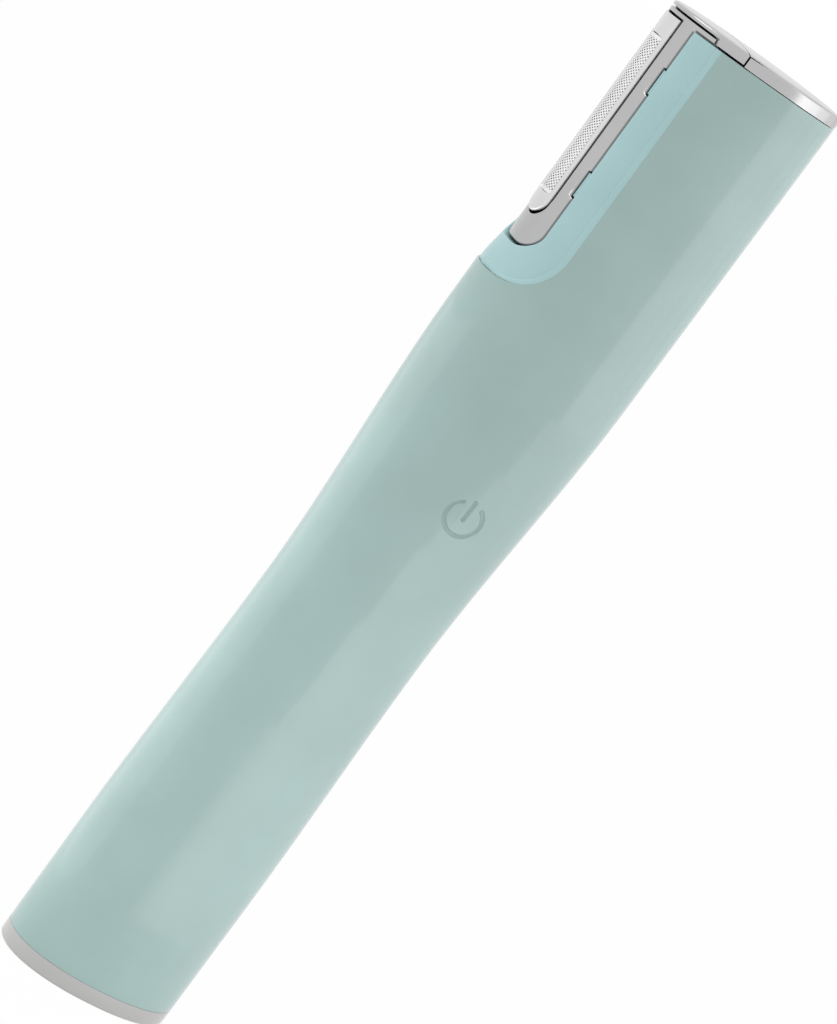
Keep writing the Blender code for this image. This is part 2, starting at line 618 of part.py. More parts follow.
def head_cap():
    step_low = FLANGE_LOW + FLANGE_THICKNESS + GAP
    cap = common(crowned_cap("head_cap", BAND_LOW),
                 block("left", (-SHOULDER_WIDTH, -SHOULDER_DEPTH, 0),
                       (-CAP_SPLIT - GAP / 2, SHOULDER_DEPTH, 2 * BODY_LENGTH)))
    cap = cut(cap, block("step", (-SHOULDER_WIDTH, -SHOULDER_DEPTH, 0),
                         (-FLANGE_EDGE + GAP, SHOULDER_DEPTH, step_low)))
    tongue_half = FRAME_HALF_WIDTH - FRAME_WALL - GAP
    tongue = block("tongue", (-FLANGE_EDGE + GAP, -tongue_half, BAND_LOW - CAP_TONGUE),
                   (-FRAME_BACK - SEAT_BAR_DEPTH, tongue_half, BAND_LOW + BAND_HEIGHT / 2))
    return piece(join(cap, tongue), "head_cap", CHROME)


def crowned_cap(name, low):
    """Top band under a slightly domed top."""
    rings = [band_ring(0, low), band_ring(0, BAND_TOP - CAP_EDGE)]
    for step in range(CROWN_STEPS):
        turn = math.pi / 2 * step / CROWN_STEPS
        rings.append(band_ring(CAP_EDGE, BAND_TOP + CROWN_HEIGHT * math.sin(turn), math.cos(turn)))
    rings.append(band_ring(CAP_EDGE, BODY_LENGTH, CROWN_TIP_SHARE))
    return loft(name, rings)


def top_cap():
    outline = WALL + GAP
    plug = envelope("plug", outline, CASING_TOP - CAP_PLUG_DEPTH, BAND_LOW + BAND_HEIGHT / 2)
    plug = cut(plug, envelope("plug_hollow", outline + CAP_PLUG_WALL, CASING_TOP - 2 * CAP_PLUG_DEPTH,
                              BAND_LOW))
    cap = join(crowned_cap("top_cap", BAND_LOW), plug)
    cap = common(cap, block("right", (-CAP_SPLIT + GAP / 2, -SHOULDER_DEPTH, 0),
                            (SHOULDER_WIDTH, SHOULDER_DEPTH, 2 * BODY_LENGTH)))
    return piece(cap, "top_cap", CHROME)


# Blades under the foil
BLADE_COUNT = 20
BLADE_SHARE = 0.45
BLADE_HALF_WIDTH = FOIL_HALF_WIDTH - FOIL_THICKNESS - BLADE_GAP
CORE_INSET = 0.0004
BLADE_BLOCK_HALF_LENGTH = HOLDER_LENGTH / 2 - HOLDER_END - BLADE_TRAVEL - GAP
CARRIER_HALF_WIDTH = HOLDER_WINDOW_HALF_WIDTH - GAP - GAP / 2
CARRIER_LEG = 0.0008
LEG_REACH = 0.0018
SEAT_HALF_LENGTH = BLADE_BLOCK_HALF_LENGTH - CARRIER_LEG - GAP


def cutter_block():
    """Spine with arched blades across it, sliding under the foil."""
    def ring(half_width, foot, crest, height):
        return [Vector((along, across, height))
                for across, along in arch_points(half_width, foot, crest, FOIL_ARCH_STEPS)]
    rings = []
    pitch = 2 * BLADE_BLOCK_HALF_LENGTH / (BLADE_COUNT - 1 + BLADE_SHARE)
    for blade in range(BLADE_COUNT):
        low = HEAD_CENTRE - BLADE_BLOCK_HALF_LENGTH + blade * pitch
        high = low + pitch * BLADE_SHARE
        core = BLADE_HALF_WIDTH - CORE_INSET, BLADE_FOOT + CORE_INSET / 2, BLADE_CREST - CORE_INSET
        blade_size = BLADE_HALF_WIDTH, BLADE_FOOT, BLADE_CREST
        if blade:
            rings.append(ring(*core, low))
        rings += [ring(*blade_size, low), ring(*blade_size, high)]
        if blade < BLADE_COUNT - 1:
            rings.append(ring(*core, high))
    return piece(loft("cutter_block", rings), "cutter_block", STEEL,
                 (-BLADE_FOOT, 0, HEAD_CENTRE))


def cutter_carrier():
    face, back = -CARRIER_FACE, -CARRIER_BACK
    reach = BLADE_BLOCK_HALF_LENGTH
    carrier = block("cutter_carrier", (face, -CARRIER_HALF_WIDTH, HEAD_CENTRE - reach),
                    (back, CARRIER_HALF_WIDTH, HEAD_CENTRE + reach))
    for side in (-1, 1):
        inner, outer = sorted((side * (reach - CARRIER_LEG), side * reach))
        leg = block("leg", (face + CARRIER_THICKNESS / 2, -CARRIER_HALF_WIDTH, HEAD_CENTRE + inner),
                    (back + LEG_REACH, CARRIER_HALF_WIDTH, HEAD_CENTRE + outer))
        carrier = join(carrier, leg)
    return piece(carrier, "cutter_carrier", WHITE_PLASTIC, (-BLADE_FOOT, 0, HEAD_CENTRE))


def cutter_seat():
    seat = block("cutter_seat", (-SEAT_FACE, -CARRIER_HALF_WIDTH - GAP, HEAD_CENTRE - SEAT_HALF_LENGTH),
                 (-SEAT_FACE + SEAT_THICKNESS, CARRIER_HALF_WIDTH + GAP, HEAD_CENTRE + SEAT_HALF_LENGTH))
    socket = block("socket", (-SHOULDER_WIDTH, -POST_HALF_WIDTH - GAP, HEAD_CENTRE - POST_HALF_LENGTH - GAP),
                   (0, POST_HALF_WIDTH + GAP, HEAD_CENTRE + POST_HALF_LENGTH + GAP))
    return piece(cut(seat, socket), "cutter_seat", DARK_PLASTIC, (-SEAT_FACE, 0, HEAD_CENTRE))


LEAF_THICKNESS, LEAF_HALF_WIDTH, LEAF_MARGIN = 0.0002, 0.0009, 0.0016
LEAF_HALF_LENGTH = SEAT_HALF_LENGTH - LEAF_MARGIN
LEAF_STEPS = 12


def cutter_leaf_spring():
    """Bowed strip between the seat and the carrier."""
    ends = -SEAT_FACE - GAP - LEAF_THICKNESS
    crown = -CARRIER_BACK + GAP
    rings = []
    for step in range(LEAF_STEPS + 1):
        turn = math.pi * step / LEAF_STEPS
        height = HEAD_CENTRE - LEAF_HALF_LENGTH * math.cos(turn)
        along = ends + (crown - ends) * math.sin(turn)
        rings.append([Vector((along, -LEAF_HALF_WIDTH, height)), Vector((along, LEAF_HALF_WIDTH, height)),
                      Vector((along + LEAF_THICKNESS, LEAF_HALF_WIDTH, height)),
                      Vector((along + LEAF_THICKNESS, -LEAF_HALF_WIDTH, height))])
    return piece(loft("cutter_leaf_spring", rings), "cutter_leaf_spring", STEEL)


COIL_WIRE, COIL_RADIUS = 0.00015, 0.0008
COIL_TURNS = 4
COIL_POINTS = 10


def coil(name, start, axis, radius, length, thickness, turns, taper=0):
    """Helical spring as one unbroken tube from a start point along an axis."""
    count = turns * COIL_POINTS
    points = []
    for k in range(count + 1):
        turn = 2 * math.pi * k / COIL_POINTS
        size = radius - taper * k / count
        points.append(start + place(axis, size * math.cos(turn), size * math.sin(turn),
                                    length * k / count))
    return wire(name, points, thickness, 1)


def wire(name, points, radius, fineness=2):
    """Round tube along a line of points, with closed ends."""
    curve = bpy.data.curves.new(name, "CURVE")
    curve.dimensions = "3D"
    curve.bevel_depth = radius
    curve.bevel_resolution = fineness
    curve.use_fill_caps = True
    line = curve.splines.new("POLY")
    line.points.add(len(points) - 1)
    for slot, point in zip(line.points, points):
        slot.co = (*point, 1)
    shape = bpy.data.objects.new(name, curve)
    bpy.context.collection.objects.link(shape)
    mesh = bpy.data.meshes.new_from_object(
        shape.evaluated_get(bpy.context.evaluated_depsgraph_get()))
    bpy.data.objects.remove(shape)
    thing = bpy.data.objects.new(name, mesh)
    bpy.context.collection.objects.link(thing)
    return thing


def foil_springs():
    """Pair of coils between the seat bars and the holder's flange."""
    start = -FRAME_BACK - SEAT_BAR_DEPTH - GAP - COIL_WIRE
    end = -HOLDER_FLANGE_FACE + HOLDER_FLANGE + GAP + COIL_WIRE
    for name, height in zip(("foil_spring_lower", "foil_spring_upper"), SEAT_BAR_HEIGHTS):
        centre = Vector((start, 0, height))
        piece(coil(name, centre, "X", COIL_RADIUS, end - start, COIL_WIRE, COIL_TURNS), name, STEEL)


# Drive: bridge, gasket, cradle, motor and crank
BRIDGE_HALF_WIDTH, BRIDGE_HALF_LENGTH, BRIDGE_POCKET = 0.0034, 0.0080, 0.0003
POST_TIP = 0.0003
CRANK_OFFSET = BLADE_TRAVEL
CRANK_PIN_RADIUS = 0.0006
CAM_RADIUS = 0.0024
SHAFT_RADIUS, SHAFT_SEAT_DEPTH = 0.0005, 0.0040
SEAL_HALF_WIDTH, SEAL_HALF_LENGTH = 0.0032, 0.0045
RAIL_THICKNESS, LIP_REACH = 0.0009, 0.0008
GUIDE_LOW, GUIDE_HIGH = 0.0052, 0.0078
MOTOR_BOSS_RADIUS = 0.0018
END_BELL_LENGTH = 0.0012
LUG_LENGTH, LUG_HALF_WIDTH, LUG_OFFSET = 0.0008, 0.0008, 0.0030
POST_DEPTH, POST_WALL, CRADLE_WALL = 0.0045, 0.0008, 0.0009
CLAMP_THICKNESS = 0.0008
CLAMP_SCREW_LENGTH = 0.0045
CHASSIS_HEADROOM, MOTOR_BACK_ROOM, CRADLE_END_ROOM = 0.00125, 0.00295, 0.0010
MOTOR_BACK = SHOULDER_WIDTH / 2 - WALL - MOTOR_BACK_ROOM
CLAMP_POST = 2 * (SCREW_RADIUS + GAP + POST_WALL)
CLAMP_SCREW_PLACE = (MOTOR_FACE + MOTOR_BACK) / 2
CLAMP_START = CLAMP_SCREW_PLACE - POST_DEPTH / 2
CLAMP_STACK = GAP + CLAMP_THICKNESS + GAP + SCREW_HEAD_HEIGHT + GAP
MOTOR_THICKNESS = 2 * (oval_reach(SHOULDER_DEPTH / 2 - WALL, SHOULDER_WIDTH / 2 - WALL,
                                  CLAMP_SCREW_PLACE + SCREW_HEAD_RADIUS) - CLAMP_STACK)
MOTOR_WIDTH = HOLDER_LENGTH - 2 * (CAP_PLUG_DEPTH + CHASSIS_HEADROOM + CRADLE_WALL + CLAMP_POST + GAP)
CLAMP_FACE = MOTOR_THICKNESS / 2 + GAP
CLAMP_SCREW_OFFSET = MOTOR_WIDTH / 2 + GAP + CLAMP_POST / 2
CRADLE_FRONT = -MOTOR_THICKNESS / 2 - GAP - CRADLE_WALL
CRADLE_END = oval_reach(SHOULDER_WIDTH / 2 - WALL, SHOULDER_DEPTH / 2 - WALL,
                        CRADLE_FRONT) - CRADLE_END_ROOM
CHASSIS_RIB_EDGE = CRADLE_FRONT - GAP
CHASSIS_RIBS = tuple(
    ((MOTOR_FACE, -SHOULDER_DEPTH, HEAD_CENTRE + side * MOTOR_WIDTH / 4),
     (CRADLE_END, CHASSIS_RIB_EDGE, HEAD_CENTRE + side * MOTOR_WIDTH / 4 + RIB))
    for side in (-1, 1))


def drive_bridge():
    bridge = block("drive_bridge", (-BRIDGE_FACE, -BRIDGE_HALF_WIDTH, HEAD_CENTRE - BRIDGE_HALF_LENGTH),
                   (-BRIDGE_FACE + BRIDGE_THICKNESS, BRIDGE_HALF_WIDTH,
                    HEAD_CENTRE + BRIDGE_HALF_LENGTH))
    post = block("post", (-SEAT_FACE - POST_TIP / 2, -POST_HALF_WIDTH, HEAD_CENTRE - POST_HALF_LENGTH),
                 (-BRIDGE_FACE + BRIDGE_THICKNESS / 2, POST_HALF_WIDTH, HEAD_CENTRE + POST_HALF_LENGTH))
    bridge = join(bridge, post)
    slot_half_width = CRANK_PIN_RADIUS + CRANK_OFFSET + GAP
    slot_half_length = CRANK_PIN_RADIUS + CRANK_OFFSET + BLADE_TRAVEL + GAP
    slot = block("crank_slot", (-BRIDGE_FACE + BRIDGE_POCKET, -slot_half_width,
                                HEAD_CENTRE - slot_half_length),
                 (0, slot_half_width, HEAD_CENTRE + slot_half_length))
    return piece(cut(bridge, slot), "drive_bridge", WHITE_PLASTIC,
                 (-BRIDGE_FACE, 0, HEAD_CENTRE))


def drive_seal():
    seal = block("drive_seal", (-SEAL_FACE, -SEAL_HALF_WIDTH, HEAD_CENTRE - SEAL_HALF_LENGTH),
                 (-SEAL_FACE + SEAL_THICKNESS, SEAL_HALF_WIDTH, HEAD_CENTRE + SEAL_HALF_LENGTH))
    return piece(cut(seal, post_slot(-SHOULDER_WIDTH, 0)), "drive_seal", RUBBER)


def drive_chassis():
    centre = HEAD_CENTRE
    post_outer = MOTOR_WIDTH / 2 + GAP + CLAMP_POST
    half_width, half_length = -CRADLE_FRONT + GAP, post_outer + CRADLE_WALL
    plate = block("drive_chassis", (-CHASSIS_FACE, -half_width, centre - half_length),
                  (-CHASSIS_FACE + CHASSIS_PLATE, half_width, centre + half_length))
    plate = cut(plate, rod("bearing_hole", "X", (0, centre), MOTOR_BOSS_RADIUS + GAP,
                           -CHASSIS_FACE - OVERRUN, -CHASSIS_FACE + CHASSIS_PLATE + OVERRUN))
    root = -CHASSIS_FACE + CHASSIS_PLATE / 2
    rail_inner = BRIDGE_HALF_WIDTH + GAP
    rail_outer = rail_inner + RAIL_THICKNESS
    lip_back = -BRIDGE_FACE - GAP
    lip_front = lip_back - RAIL_THICKNESS / 2
    ledge_front = -BRIDGE_FACE + BRIDGE_THICKNESS + GAP
    for side in (-1, 1):
        for end in (-1, 1):
            low, high = sorted((centre + end * GUIDE_LOW, centre + end * GUIDE_HIGH))
            web_inner, web_outer = sorted((side * rail_inner, side * rail_outer))
            lip_inner, lip_outer = sorted((side * (rail_inner - LIP_REACH), side * rail_outer))
            plate = join(plate, block("web", (lip_front, web_inner, low), (root, web_outer, high)))
            plate = join(plate, block("lip", (lip_front, lip_inner, low), (lip_back, lip_outer, high)))
            plate = join(plate, block("ledge", (ledge_front, lip_inner, low), (root, lip_outer, high)))
    plate = join(plate, block("cradle", (root, CRADLE_FRONT, centre - post_outer),
                              (CRADLE_END, CRADLE_FRONT + CRADLE_WALL, centre + post_outer)))
    for end in (-1, 1):
        low, high = sorted((centre + end * (post_outer - CLAMP_POST), centre + end * post_outer))
        post = block("post", (CLAMP_START, CRADLE_FRONT + CRADLE_WALL / 2, low),
                     (CLAMP_START + POST_DEPTH, MOTOR_THICKNESS / 2, high))
        post = cut(post, rod("screw_hole", "Y", (CLAMP_SCREW_PLACE, centre + end * CLAMP_SCREW_OFFSET),
                             SCREW_RADIUS + GAP, MOTOR_THICKNESS / 2 - CLAMP_SCREW_LENGTH,
                             MOTOR_THICKNESS))
        plate = join(plate, post)
    return piece(plate, "drive_chassis", DARK_PLASTIC)


def motor_clamp():
    low, high = CLAMP_FACE, CLAMP_FACE + CLAMP_THICKNESS
    reach = MOTOR_WIDTH / 2 + GAP + CLAMP_POST
    clamp = block("motor_clamp", (CLAMP_START, low, HEAD_CENTRE - reach),
                  (CLAMP_START + POST_DEPTH, high, HEAD_CENTRE + reach))
    for end in (-1, 1):
        clamp = cut(clamp, rod("screw_hole", "Y", (CLAMP_SCREW_PLACE, HEAD_CENTRE + end * CLAMP_SCREW_OFFSET),
                               SCREW_RADIUS + GAP, low - OVERRUN, high + OVERRUN))
    return piece(clamp, "motor_clamp", STEEL)


def screw(name, axis, centre, head_seat, direction, length):
    """Pan-head screw: its head stands on its seat and its shank runs the other way."""
    shank_end = head_seat - direction * length
    head_end = head_seat + direction * SCREW_HEAD_HEIGHT
    overlap = head_seat + direction * SCREW_HEAD_HEIGHT / 2
    shank = rod(name, axis, centre, SCREW_RADIUS, *sorted((shank_end, overlap)), ROUND_SIDES // 2)
    head = rod("head", axis, centre, SCREW_HEAD_RADIUS, *sorted((head_seat, head_end)))
    return piece(join(shank, head), name, STEEL)


def screws():
    seat = CLAMP_FACE + CLAMP_THICKNESS + GAP
    for name, end in (("clamp_screw_lower", -1), ("clamp_screw_upper", 1)):
        centre = CLAMP_SCREW_PLACE, HEAD_CENTRE + end * CLAMP_SCREW_OFFSET
        screw(name, "Y", centre, seat, 1, CLAMP_SCREW_LENGTH)
    seat = -BOARD_FACE + BOARD_THICKNESS + GAP
    for name, height in zip(("board_screw_lower", "board_screw_upper"), BOARD_SCREW_HEIGHTS):
        screw(name, "Y", (0, height), seat, 1, SCREW_LENGTH - BOARD_THICKNESS - GAP - GAP)


def flat_sided(half_width, half_thickness):
    """Outline in Y and Z of a motor can: flat front and back, round ends."""
    points = []
    for k in range(ROUND_SIDES):
        turn = 2 * math.pi * (k + 0.5) / ROUND_SIDES
        across = min(max(half_width * math.cos(turn), -half_thickness), half_thickness)
        points.append((across, HEAD_CENTRE + half_width * math.sin(turn)))
    return points


def motor():
    can = prism("motor_can", "X", flat_sided(MOTOR_WIDTH / 2, MOTOR_THICKNESS / 2),
                MOTOR_FACE, MOTOR_BACK - END_BELL_LENGTH - GAP)
    boss = rod("boss", "X", (0, HEAD_CENTRE), MOTOR_BOSS_RADIUS, MOTOR_FACE - CHASSIS_PLATE / 2,
               MOTOR_FACE + CHASSIS_PLATE)
    can = join(can, boss)
    bore = rod("bore", "X", (0, HEAD_CENTRE), SHAFT_RADIUS + GAP, MOTOR_FACE - CHASSIS_PLATE,
               MOTOR_FACE + SHAFT_SEAT_DEPTH)
    piece(cut(can, bore), "motor_can", STEEL)
    bell = prism("motor_end_bell", "X", flat_sided(MOTOR_WIDTH / 2 - GAP, MOTOR_THICKNESS / 2 - GAP),
                 MOTOR_BACK - END_BELL_LENGTH, MOTOR_BACK)
    for side in (-1, 1):
        lug = HEAD_CENTRE + side * LUG_OFFSET
        bell = join(bell, block("lug", (MOTOR_BACK - END_BELL_LENGTH / 2, -LUG_HALF_WIDTH,
                                        lug - LUG_HALF_WIDTH),
                                (MOTOR_BACK + LUG_LENGTH, LUG_HALF_WIDTH, lug + LUG_HALF_WIDTH)))
    piece(bell, "motor_end_bell", DARK_PLASTIC)
    pivot = (-CAM_FACE, 0, HEAD_CENTRE)
    shaft = rod("motor_shaft", "X", (0, HEAD_CENTRE), SHAFT_RADIUS,
                -CAM_FACE + CAM_THICKNESS / 3 + GAP, MOTOR_FACE + SHAFT_SEAT_DEPTH - GAP)
    piece(shaft, "motor_shaft", STEEL, pivot)
    cam = rod("crank_cam", "X", (0, HEAD_CENTRE), CAM_RADIUS, -CAM_FACE, -CAM_FACE + CAM_THICKNESS)
    pin_tip = -BRIDGE_FACE + BRIDGE_POCKET + GAP
    pin = rod("pin", "X", (0, HEAD_CENTRE + CRANK_OFFSET), CRANK_PIN_RADIUS, pin_tip,
              -CAM_FACE + CAM_THICKNESS / 2, ROUND_SIDES // 2)
    cam = join(cam, pin)
    bore = rod("bore", "X", (0, HEAD_CENTRE), SHAFT_RADIUS + GAP, -CAM_FACE + CAM_THICKNESS / 3,
               -CAM_FACE + CAM_THICKNESS + OVERRUN)
    piece(cut(cam, bore), "crank_cam", BRASS, pivot)


# Button, switch and board
BUTTON_THICKNESS = 0.0011
BUTTON_FLANGE_RADIUS = 0.0048
BUTTON_FLANGE = 0.0007
STEM_RADIUS = 0.0012
SWITCH_HALF_WIDTH, SWITCH_THICKNESS = 0.0023, 0.0020
SWITCH_FLOOR = 0.0004
PLUNGER_RADIUS, PLUNGER_PROUD = 0.0010, 0.0005
SWITCH_FACE = -BOARD_FACE - GAP - SWITCH_THICKNESS
PLUNGER_TIP = SWITCH_FACE - PLUNGER_PROUD - BUTTON_TRAVEL


def power_button():
    centre = BUTTON_SHIFT, BUTTON_HEIGHT
    pivot = (BUTTON_SHIFT, wall_front(BUTTON_HEIGHT, BUTTON_SHIFT) - WALL, BUTTON_HEIGHT)
    cap = rod("power_button", "Y", centre, BUTTON_RADIUS, -SHOULDER_DEPTH, 0, 2 * ROUND_SIDES)
    cap = common(cap, envelope("surface", 0, WAIST_HEIGHT, SHOULDER_HEIGHT))
    side_wall = wall_front(BUTTON_HEIGHT, BUTTON_SHIFT + BUTTON_FLANGE_RADIUS)
    low_wall = wall_front(BUTTON_HEIGHT - BUTTON_FLANGE_RADIUS)
    flange_front = max(side_wall, low_wall) + GAP
    cap = cut(cap, block("behind", (-SHOULDER_WIDTH, flange_front + BUTTON_FLANGE, 0),
                         (SHOULDER_WIDTH, SHOULDER_DEPTH, BODY_LENGTH)))
    cap = join(cap, rod("flange", "Y", centre, BUTTON_FLANGE_RADIUS, flange_front,
                        flange_front + BUTTON_FLANGE - GAP / 3))
    cap = join(cap, rod("stem", "Y", centre, STEM_RADIUS, flange_front, PLUNGER_TIP - GAP))
    return piece(cap, "power_button", SAGE, pivot)


def tact_switch():
    centre = BUTTON_SHIFT, BUTTON_HEIGHT
    switch = block("tact_switch", (BUTTON_SHIFT - SWITCH_HALF_WIDTH, SWITCH_FACE,
                                   BUTTON_HEIGHT - SWITCH_HALF_WIDTH),
                   (BUTTON_SHIFT + SWITCH_HALF_WIDTH, -BOARD_FACE - GAP,
                    BUTTON_HEIGHT + SWITCH_HALF_WIDTH))
    switch = cut(switch, rod("bore", "Y", centre, PLUNGER_RADIUS + GAP,
                             SWITCH_FACE - OVERRUN, -BOARD_FACE - GAP - SWITCH_FLOOR))
    piece(switch, "tact_switch", STEEL)
    rest = -BOARD_FACE - GAP - SWITCH_FLOOR - GAP - BUTTON_TRAVEL
    plunger = rod("switch_plunger", "Y", centre, PLUNGER_RADIUS, PLUNGER_TIP, rest)
    piece(plunger, "switch_plunger", DARK_PLASTIC, (BUTTON_SHIFT, PLUNGER_TIP, BUTTON_HEIGHT))


def circuit_board():
    board = block("circuit_board", (-BOARD_WIDTH / 2, -BOARD_FACE, BOARD_LOW),
                  (BOARD_WIDTH / 2, -BOARD_FACE + BOARD_THICKNESS, BOARD_HIGH))
    for height in BOARD_SCREW_HEIGHTS:
        board = cut(board, rod("screw_hole", "Y", (0, height), SCREW_RADIUS + GAP,
                               -BOARD_FACE - OVERRUN, OVERRUN))
    return piece(board, "circuit_board", BOARD_GREEN)


# Battery, its sleeve and contacts, and the pull-off base cap
SEAL_GROOVE, SEAL_GROOVE_DEPTH = 0.0009, 0.0005
SEAL_GROOVE_PLACE = 0.0010
BASE_EDGE = 0.0004
BATTERY_SPRING_TAPER = 0.0012
NUB_HEIGHT, NUB_RADIUS = 0.0008, 0.0027
BATTERY_EDGE = 0.0004
TAIL_HALF_WIDTH, TAIL_THICKNESS = 0.0012, 0.0004
TAIL_PLACE = -BOARD_FACE + (BOARD_THICKNESS - TAIL_THICKNESS) / 2
STRIP_THICKNESS, STRIP_HALF_WIDTH = 0.0003, 0.0010
STRIP_INNER = SLEEVE_RADIUS + GAP


def base_cap():
    half_width, half_depth = BASE_WIDTH / 2, BASE_DEPTH / 2
    rim = loft("base_cap", [oval_ring(half_width - BASE_EDGE, half_depth - BASE_EDGE, 0),
                            oval_ring(half_width, half_depth, BASE_EDGE),
                            oval_ring(half_width, half_depth, BASE_RING_HEIGHT)])
    outline = WALL + GAP
    skirt = envelope("skirt", outline, BASE_RING_HEIGHT / 2, BASE_RING_HEIGHT + SKIRT_HEIGHT)
    cap = join(rim, skirt)
    cap = cut(cap, envelope("hollow", outline + SKIRT_WALL, CAP_FLOOR,
                            BASE_RING_HEIGHT + SKIRT_HEIGHT + OVERRUN))
    low = BASE_RING_HEIGHT + GAP + SEAL_GROOVE_PLACE
    groove = cut(envelope("groove", 0, low, low + SEAL_GROOVE + 2 * GAP),
                 envelope("groove_floor", outline + SEAL_GROOVE_DEPTH, low - GAP,
                          low + SEAL_GROOVE + OVERRUN))
    return piece(cut(cap, groove), "base_cap", PALE_GREY, (0, 0, 0))


def base_seal():
    low = BASE_RING_HEIGHT + GAP + SEAL_GROOVE_PLACE + GAP
    outer, inner = WALL + GAP / 2, WALL + GAP + SEAL_GROOVE_DEPTH - GAP / 2
    seal = cut(envelope("base_seal", outer, low, low + SEAL_GROOVE),
               envelope("seal_bore", inner, low - GAP, low + SEAL_GROOVE + GAP))
    return piece(seal, "base_seal", RUBBER)


def battery():
    radius = BATTERY_DIAMETER / 2
    high = BATTERY_LOW + BATTERY_LENGTH - NUB_HEIGHT
    rings = [(radius - BATTERY_EDGE, BATTERY_LOW), (radius, BATTERY_LOW + BATTERY_EDGE),
             (radius, high - BATTERY_EDGE), (radius - BATTERY_EDGE, high), (NUB_RADIUS, high),
             (NUB_RADIUS, high + NUB_HEIGHT)]
    cell = loft("battery_cell", [[Vector((*pair, height)) for pair in circle((0, 0), size)]
                                 for size, height in rings])
    piece(cell, "battery_cell", BATTERY_BLUE)
    sleeve = rod("battery_sleeve", "Z", (0, 0), SLEEVE_RADIUS, SLEEVE_LOW, SLEEVE_HIGH)
    sleeve = cut(sleeve, rod("bore", "Z", (0, 0), SLEEVE_RADIUS - SLEEVE_WALL, SLEEVE_LOW - OVERRUN,
                             SLEEVE_HIGH - SLEEVE_WALL))
    sleeve = cut(sleeve, block("tail_slot", (-TAIL_HALF_WIDTH - GAP, TAIL_PLACE - GAP, CONTACT_LOW),
                               (TAIL_HALF_WIDTH + GAP, TAIL_PLACE + TAIL_THICKNESS + GAP, BOARD_HIGH)))
    window_low, window_high = SLEEVE_LOW + SLEEVE_RADIUS, SLEEVE_HIGH - SLEEVE_RADIUS
    sleeve = cut(sleeve, block("side_window", (-SLEEVE_RADIUS / 2, 0, window_low),
                               (SLEEVE_RADIUS / 2, SLEEVE_RADIUS + OVERRUN, window_high)))
    piece(sleeve, "battery_sleeve", DARK_PLASTIC)
    contact = rod("positive_contact", "Z", (0, 0), PLATE_RADIUS, CONTACT_LOW,
                  CONTACT_LOW + PLATE_THICKNESS)
    tail = block("tail", (-TAIL_HALF_WIDTH, TAIL_PLACE, CONTACT_LOW + PLATE_THICKNESS / 2),
                 (TAIL_HALF_WIDTH, TAIL_PLACE + TAIL_THICKNESS, BOARD_LOW - GAP))
    piece(join(contact, tail), "positive_contact", BRASS)


def base_contacts():
    plate_top = PLATE_FACE + PLATE_THICKNESS
    plate = rod("contact_plate", "Z", (0, 0), PLATE_RADIUS, PLATE_FACE, plate_top)
    tab = block("tab", (-STRIP_INNER - STRIP_THICKNESS, -STRIP_HALF_WIDTH, PLATE_FACE),
                (0, STRIP_HALF_WIDTH, plate_top))
    piece(join(plate, tab), "contact_plate", BRASS)
    strip = block("negative_strip", (-STRIP_INNER - STRIP_THICKNESS, -STRIP_HALF_WIDTH, plate_top + GAP),
                  (-STRIP_INNER, STRIP_HALF_WIDTH, BOARD_LOW - GAP))
    piece(strip, "negative_strip", BRASS)
    start = Vector((0, 0, BATTERY_SPRING_START + BATTERY_SPRING_WIRE))
    length = BATTERY_SPRING_LENGTH - 2 * BATTERY_SPRING_WIRE
    spring = coil("negative_spring", start, "Z", PLATE_RADIUS - 2 * BATTERY_SPRING_WIRE, length,
                  BATTERY_SPRING_WIRE, COIL_TURNS, BATTERY_SPRING_TAPER)
    piece(spring, "negative_spring", STEEL)


# Leads from the board's upper end to the motor's lugs
LEAD_RADIUS = 0.0004
LEAD_POINTS = 22
LEAD_START_INSET = 0.0025
LEAD_SPACING = 0.0025
LEAD_BACK_ROOM = 0.0008
LEAD_BEND_SHARE = 1.6


def motor_leads():
    """Two leads that rise behind the board and bend round the back of the motor."""
    start_depth = -BOARD_FACE + BOARD_THICKNESS + GAP + LEAD_RADIUS
    back = MOTOR_BACK + LUG_LENGTH + LEAD_BACK_ROOM
    for name, look, side in (("lead_red", RED_LEAD, 1), ("lead_black", BLACK_LEAD, -1)):
        first = Vector((BOARD_WIDTH / 4 - side * LEAD_SPACING / 2, start_depth,
                        BOARD_HIGH - LEAD_START_INSET))
        last = Vector((back, side * LEAD_SPACING / 2, HEAD_CENTRE + side * LUG_OFFSET))
        rise = last.z - first.z
        points = []
        for k in range(LEAD_POINTS + 1):
            share = k / LEAD_POINTS
            points.append(Vector((eased(first.x, last.x, LEAD_BEND_SHARE * share),
                                  eased(first.y, last.y, share), first.z + rise * share)))
        piece(wire(name, points, LEAD_RADIUS), name, look)


def clear_scene():
    for thing in list(bpy.data.objects):
        bpy.data.objects.remove(thing)


clear_scene()
front_casing()
rear_cover()
head_surround()
cassette_frame()
head_cap()
top_cap()
foil_holder()
shaving_foil()
cutter_block()
cutter_carrier()
cutter_seat()
cutter_leaf_spring()
foil_springs()
drive_bridge()
drive_seal()
drive_chassis()
motor_clamp()
screws()
motor()
power_button()
tact_switch()
circuit_board()
base_cap()
base_seal()
battery()
base_contacts()
motor_leads()
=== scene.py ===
"""Looks of a slim foil shaver for women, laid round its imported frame.

Lengths are written in millimetres and turned into metres where a mesh, a lamp or a material is made.
"""

import bpy
import numpy as np
from mathutils import Matrix, Vector


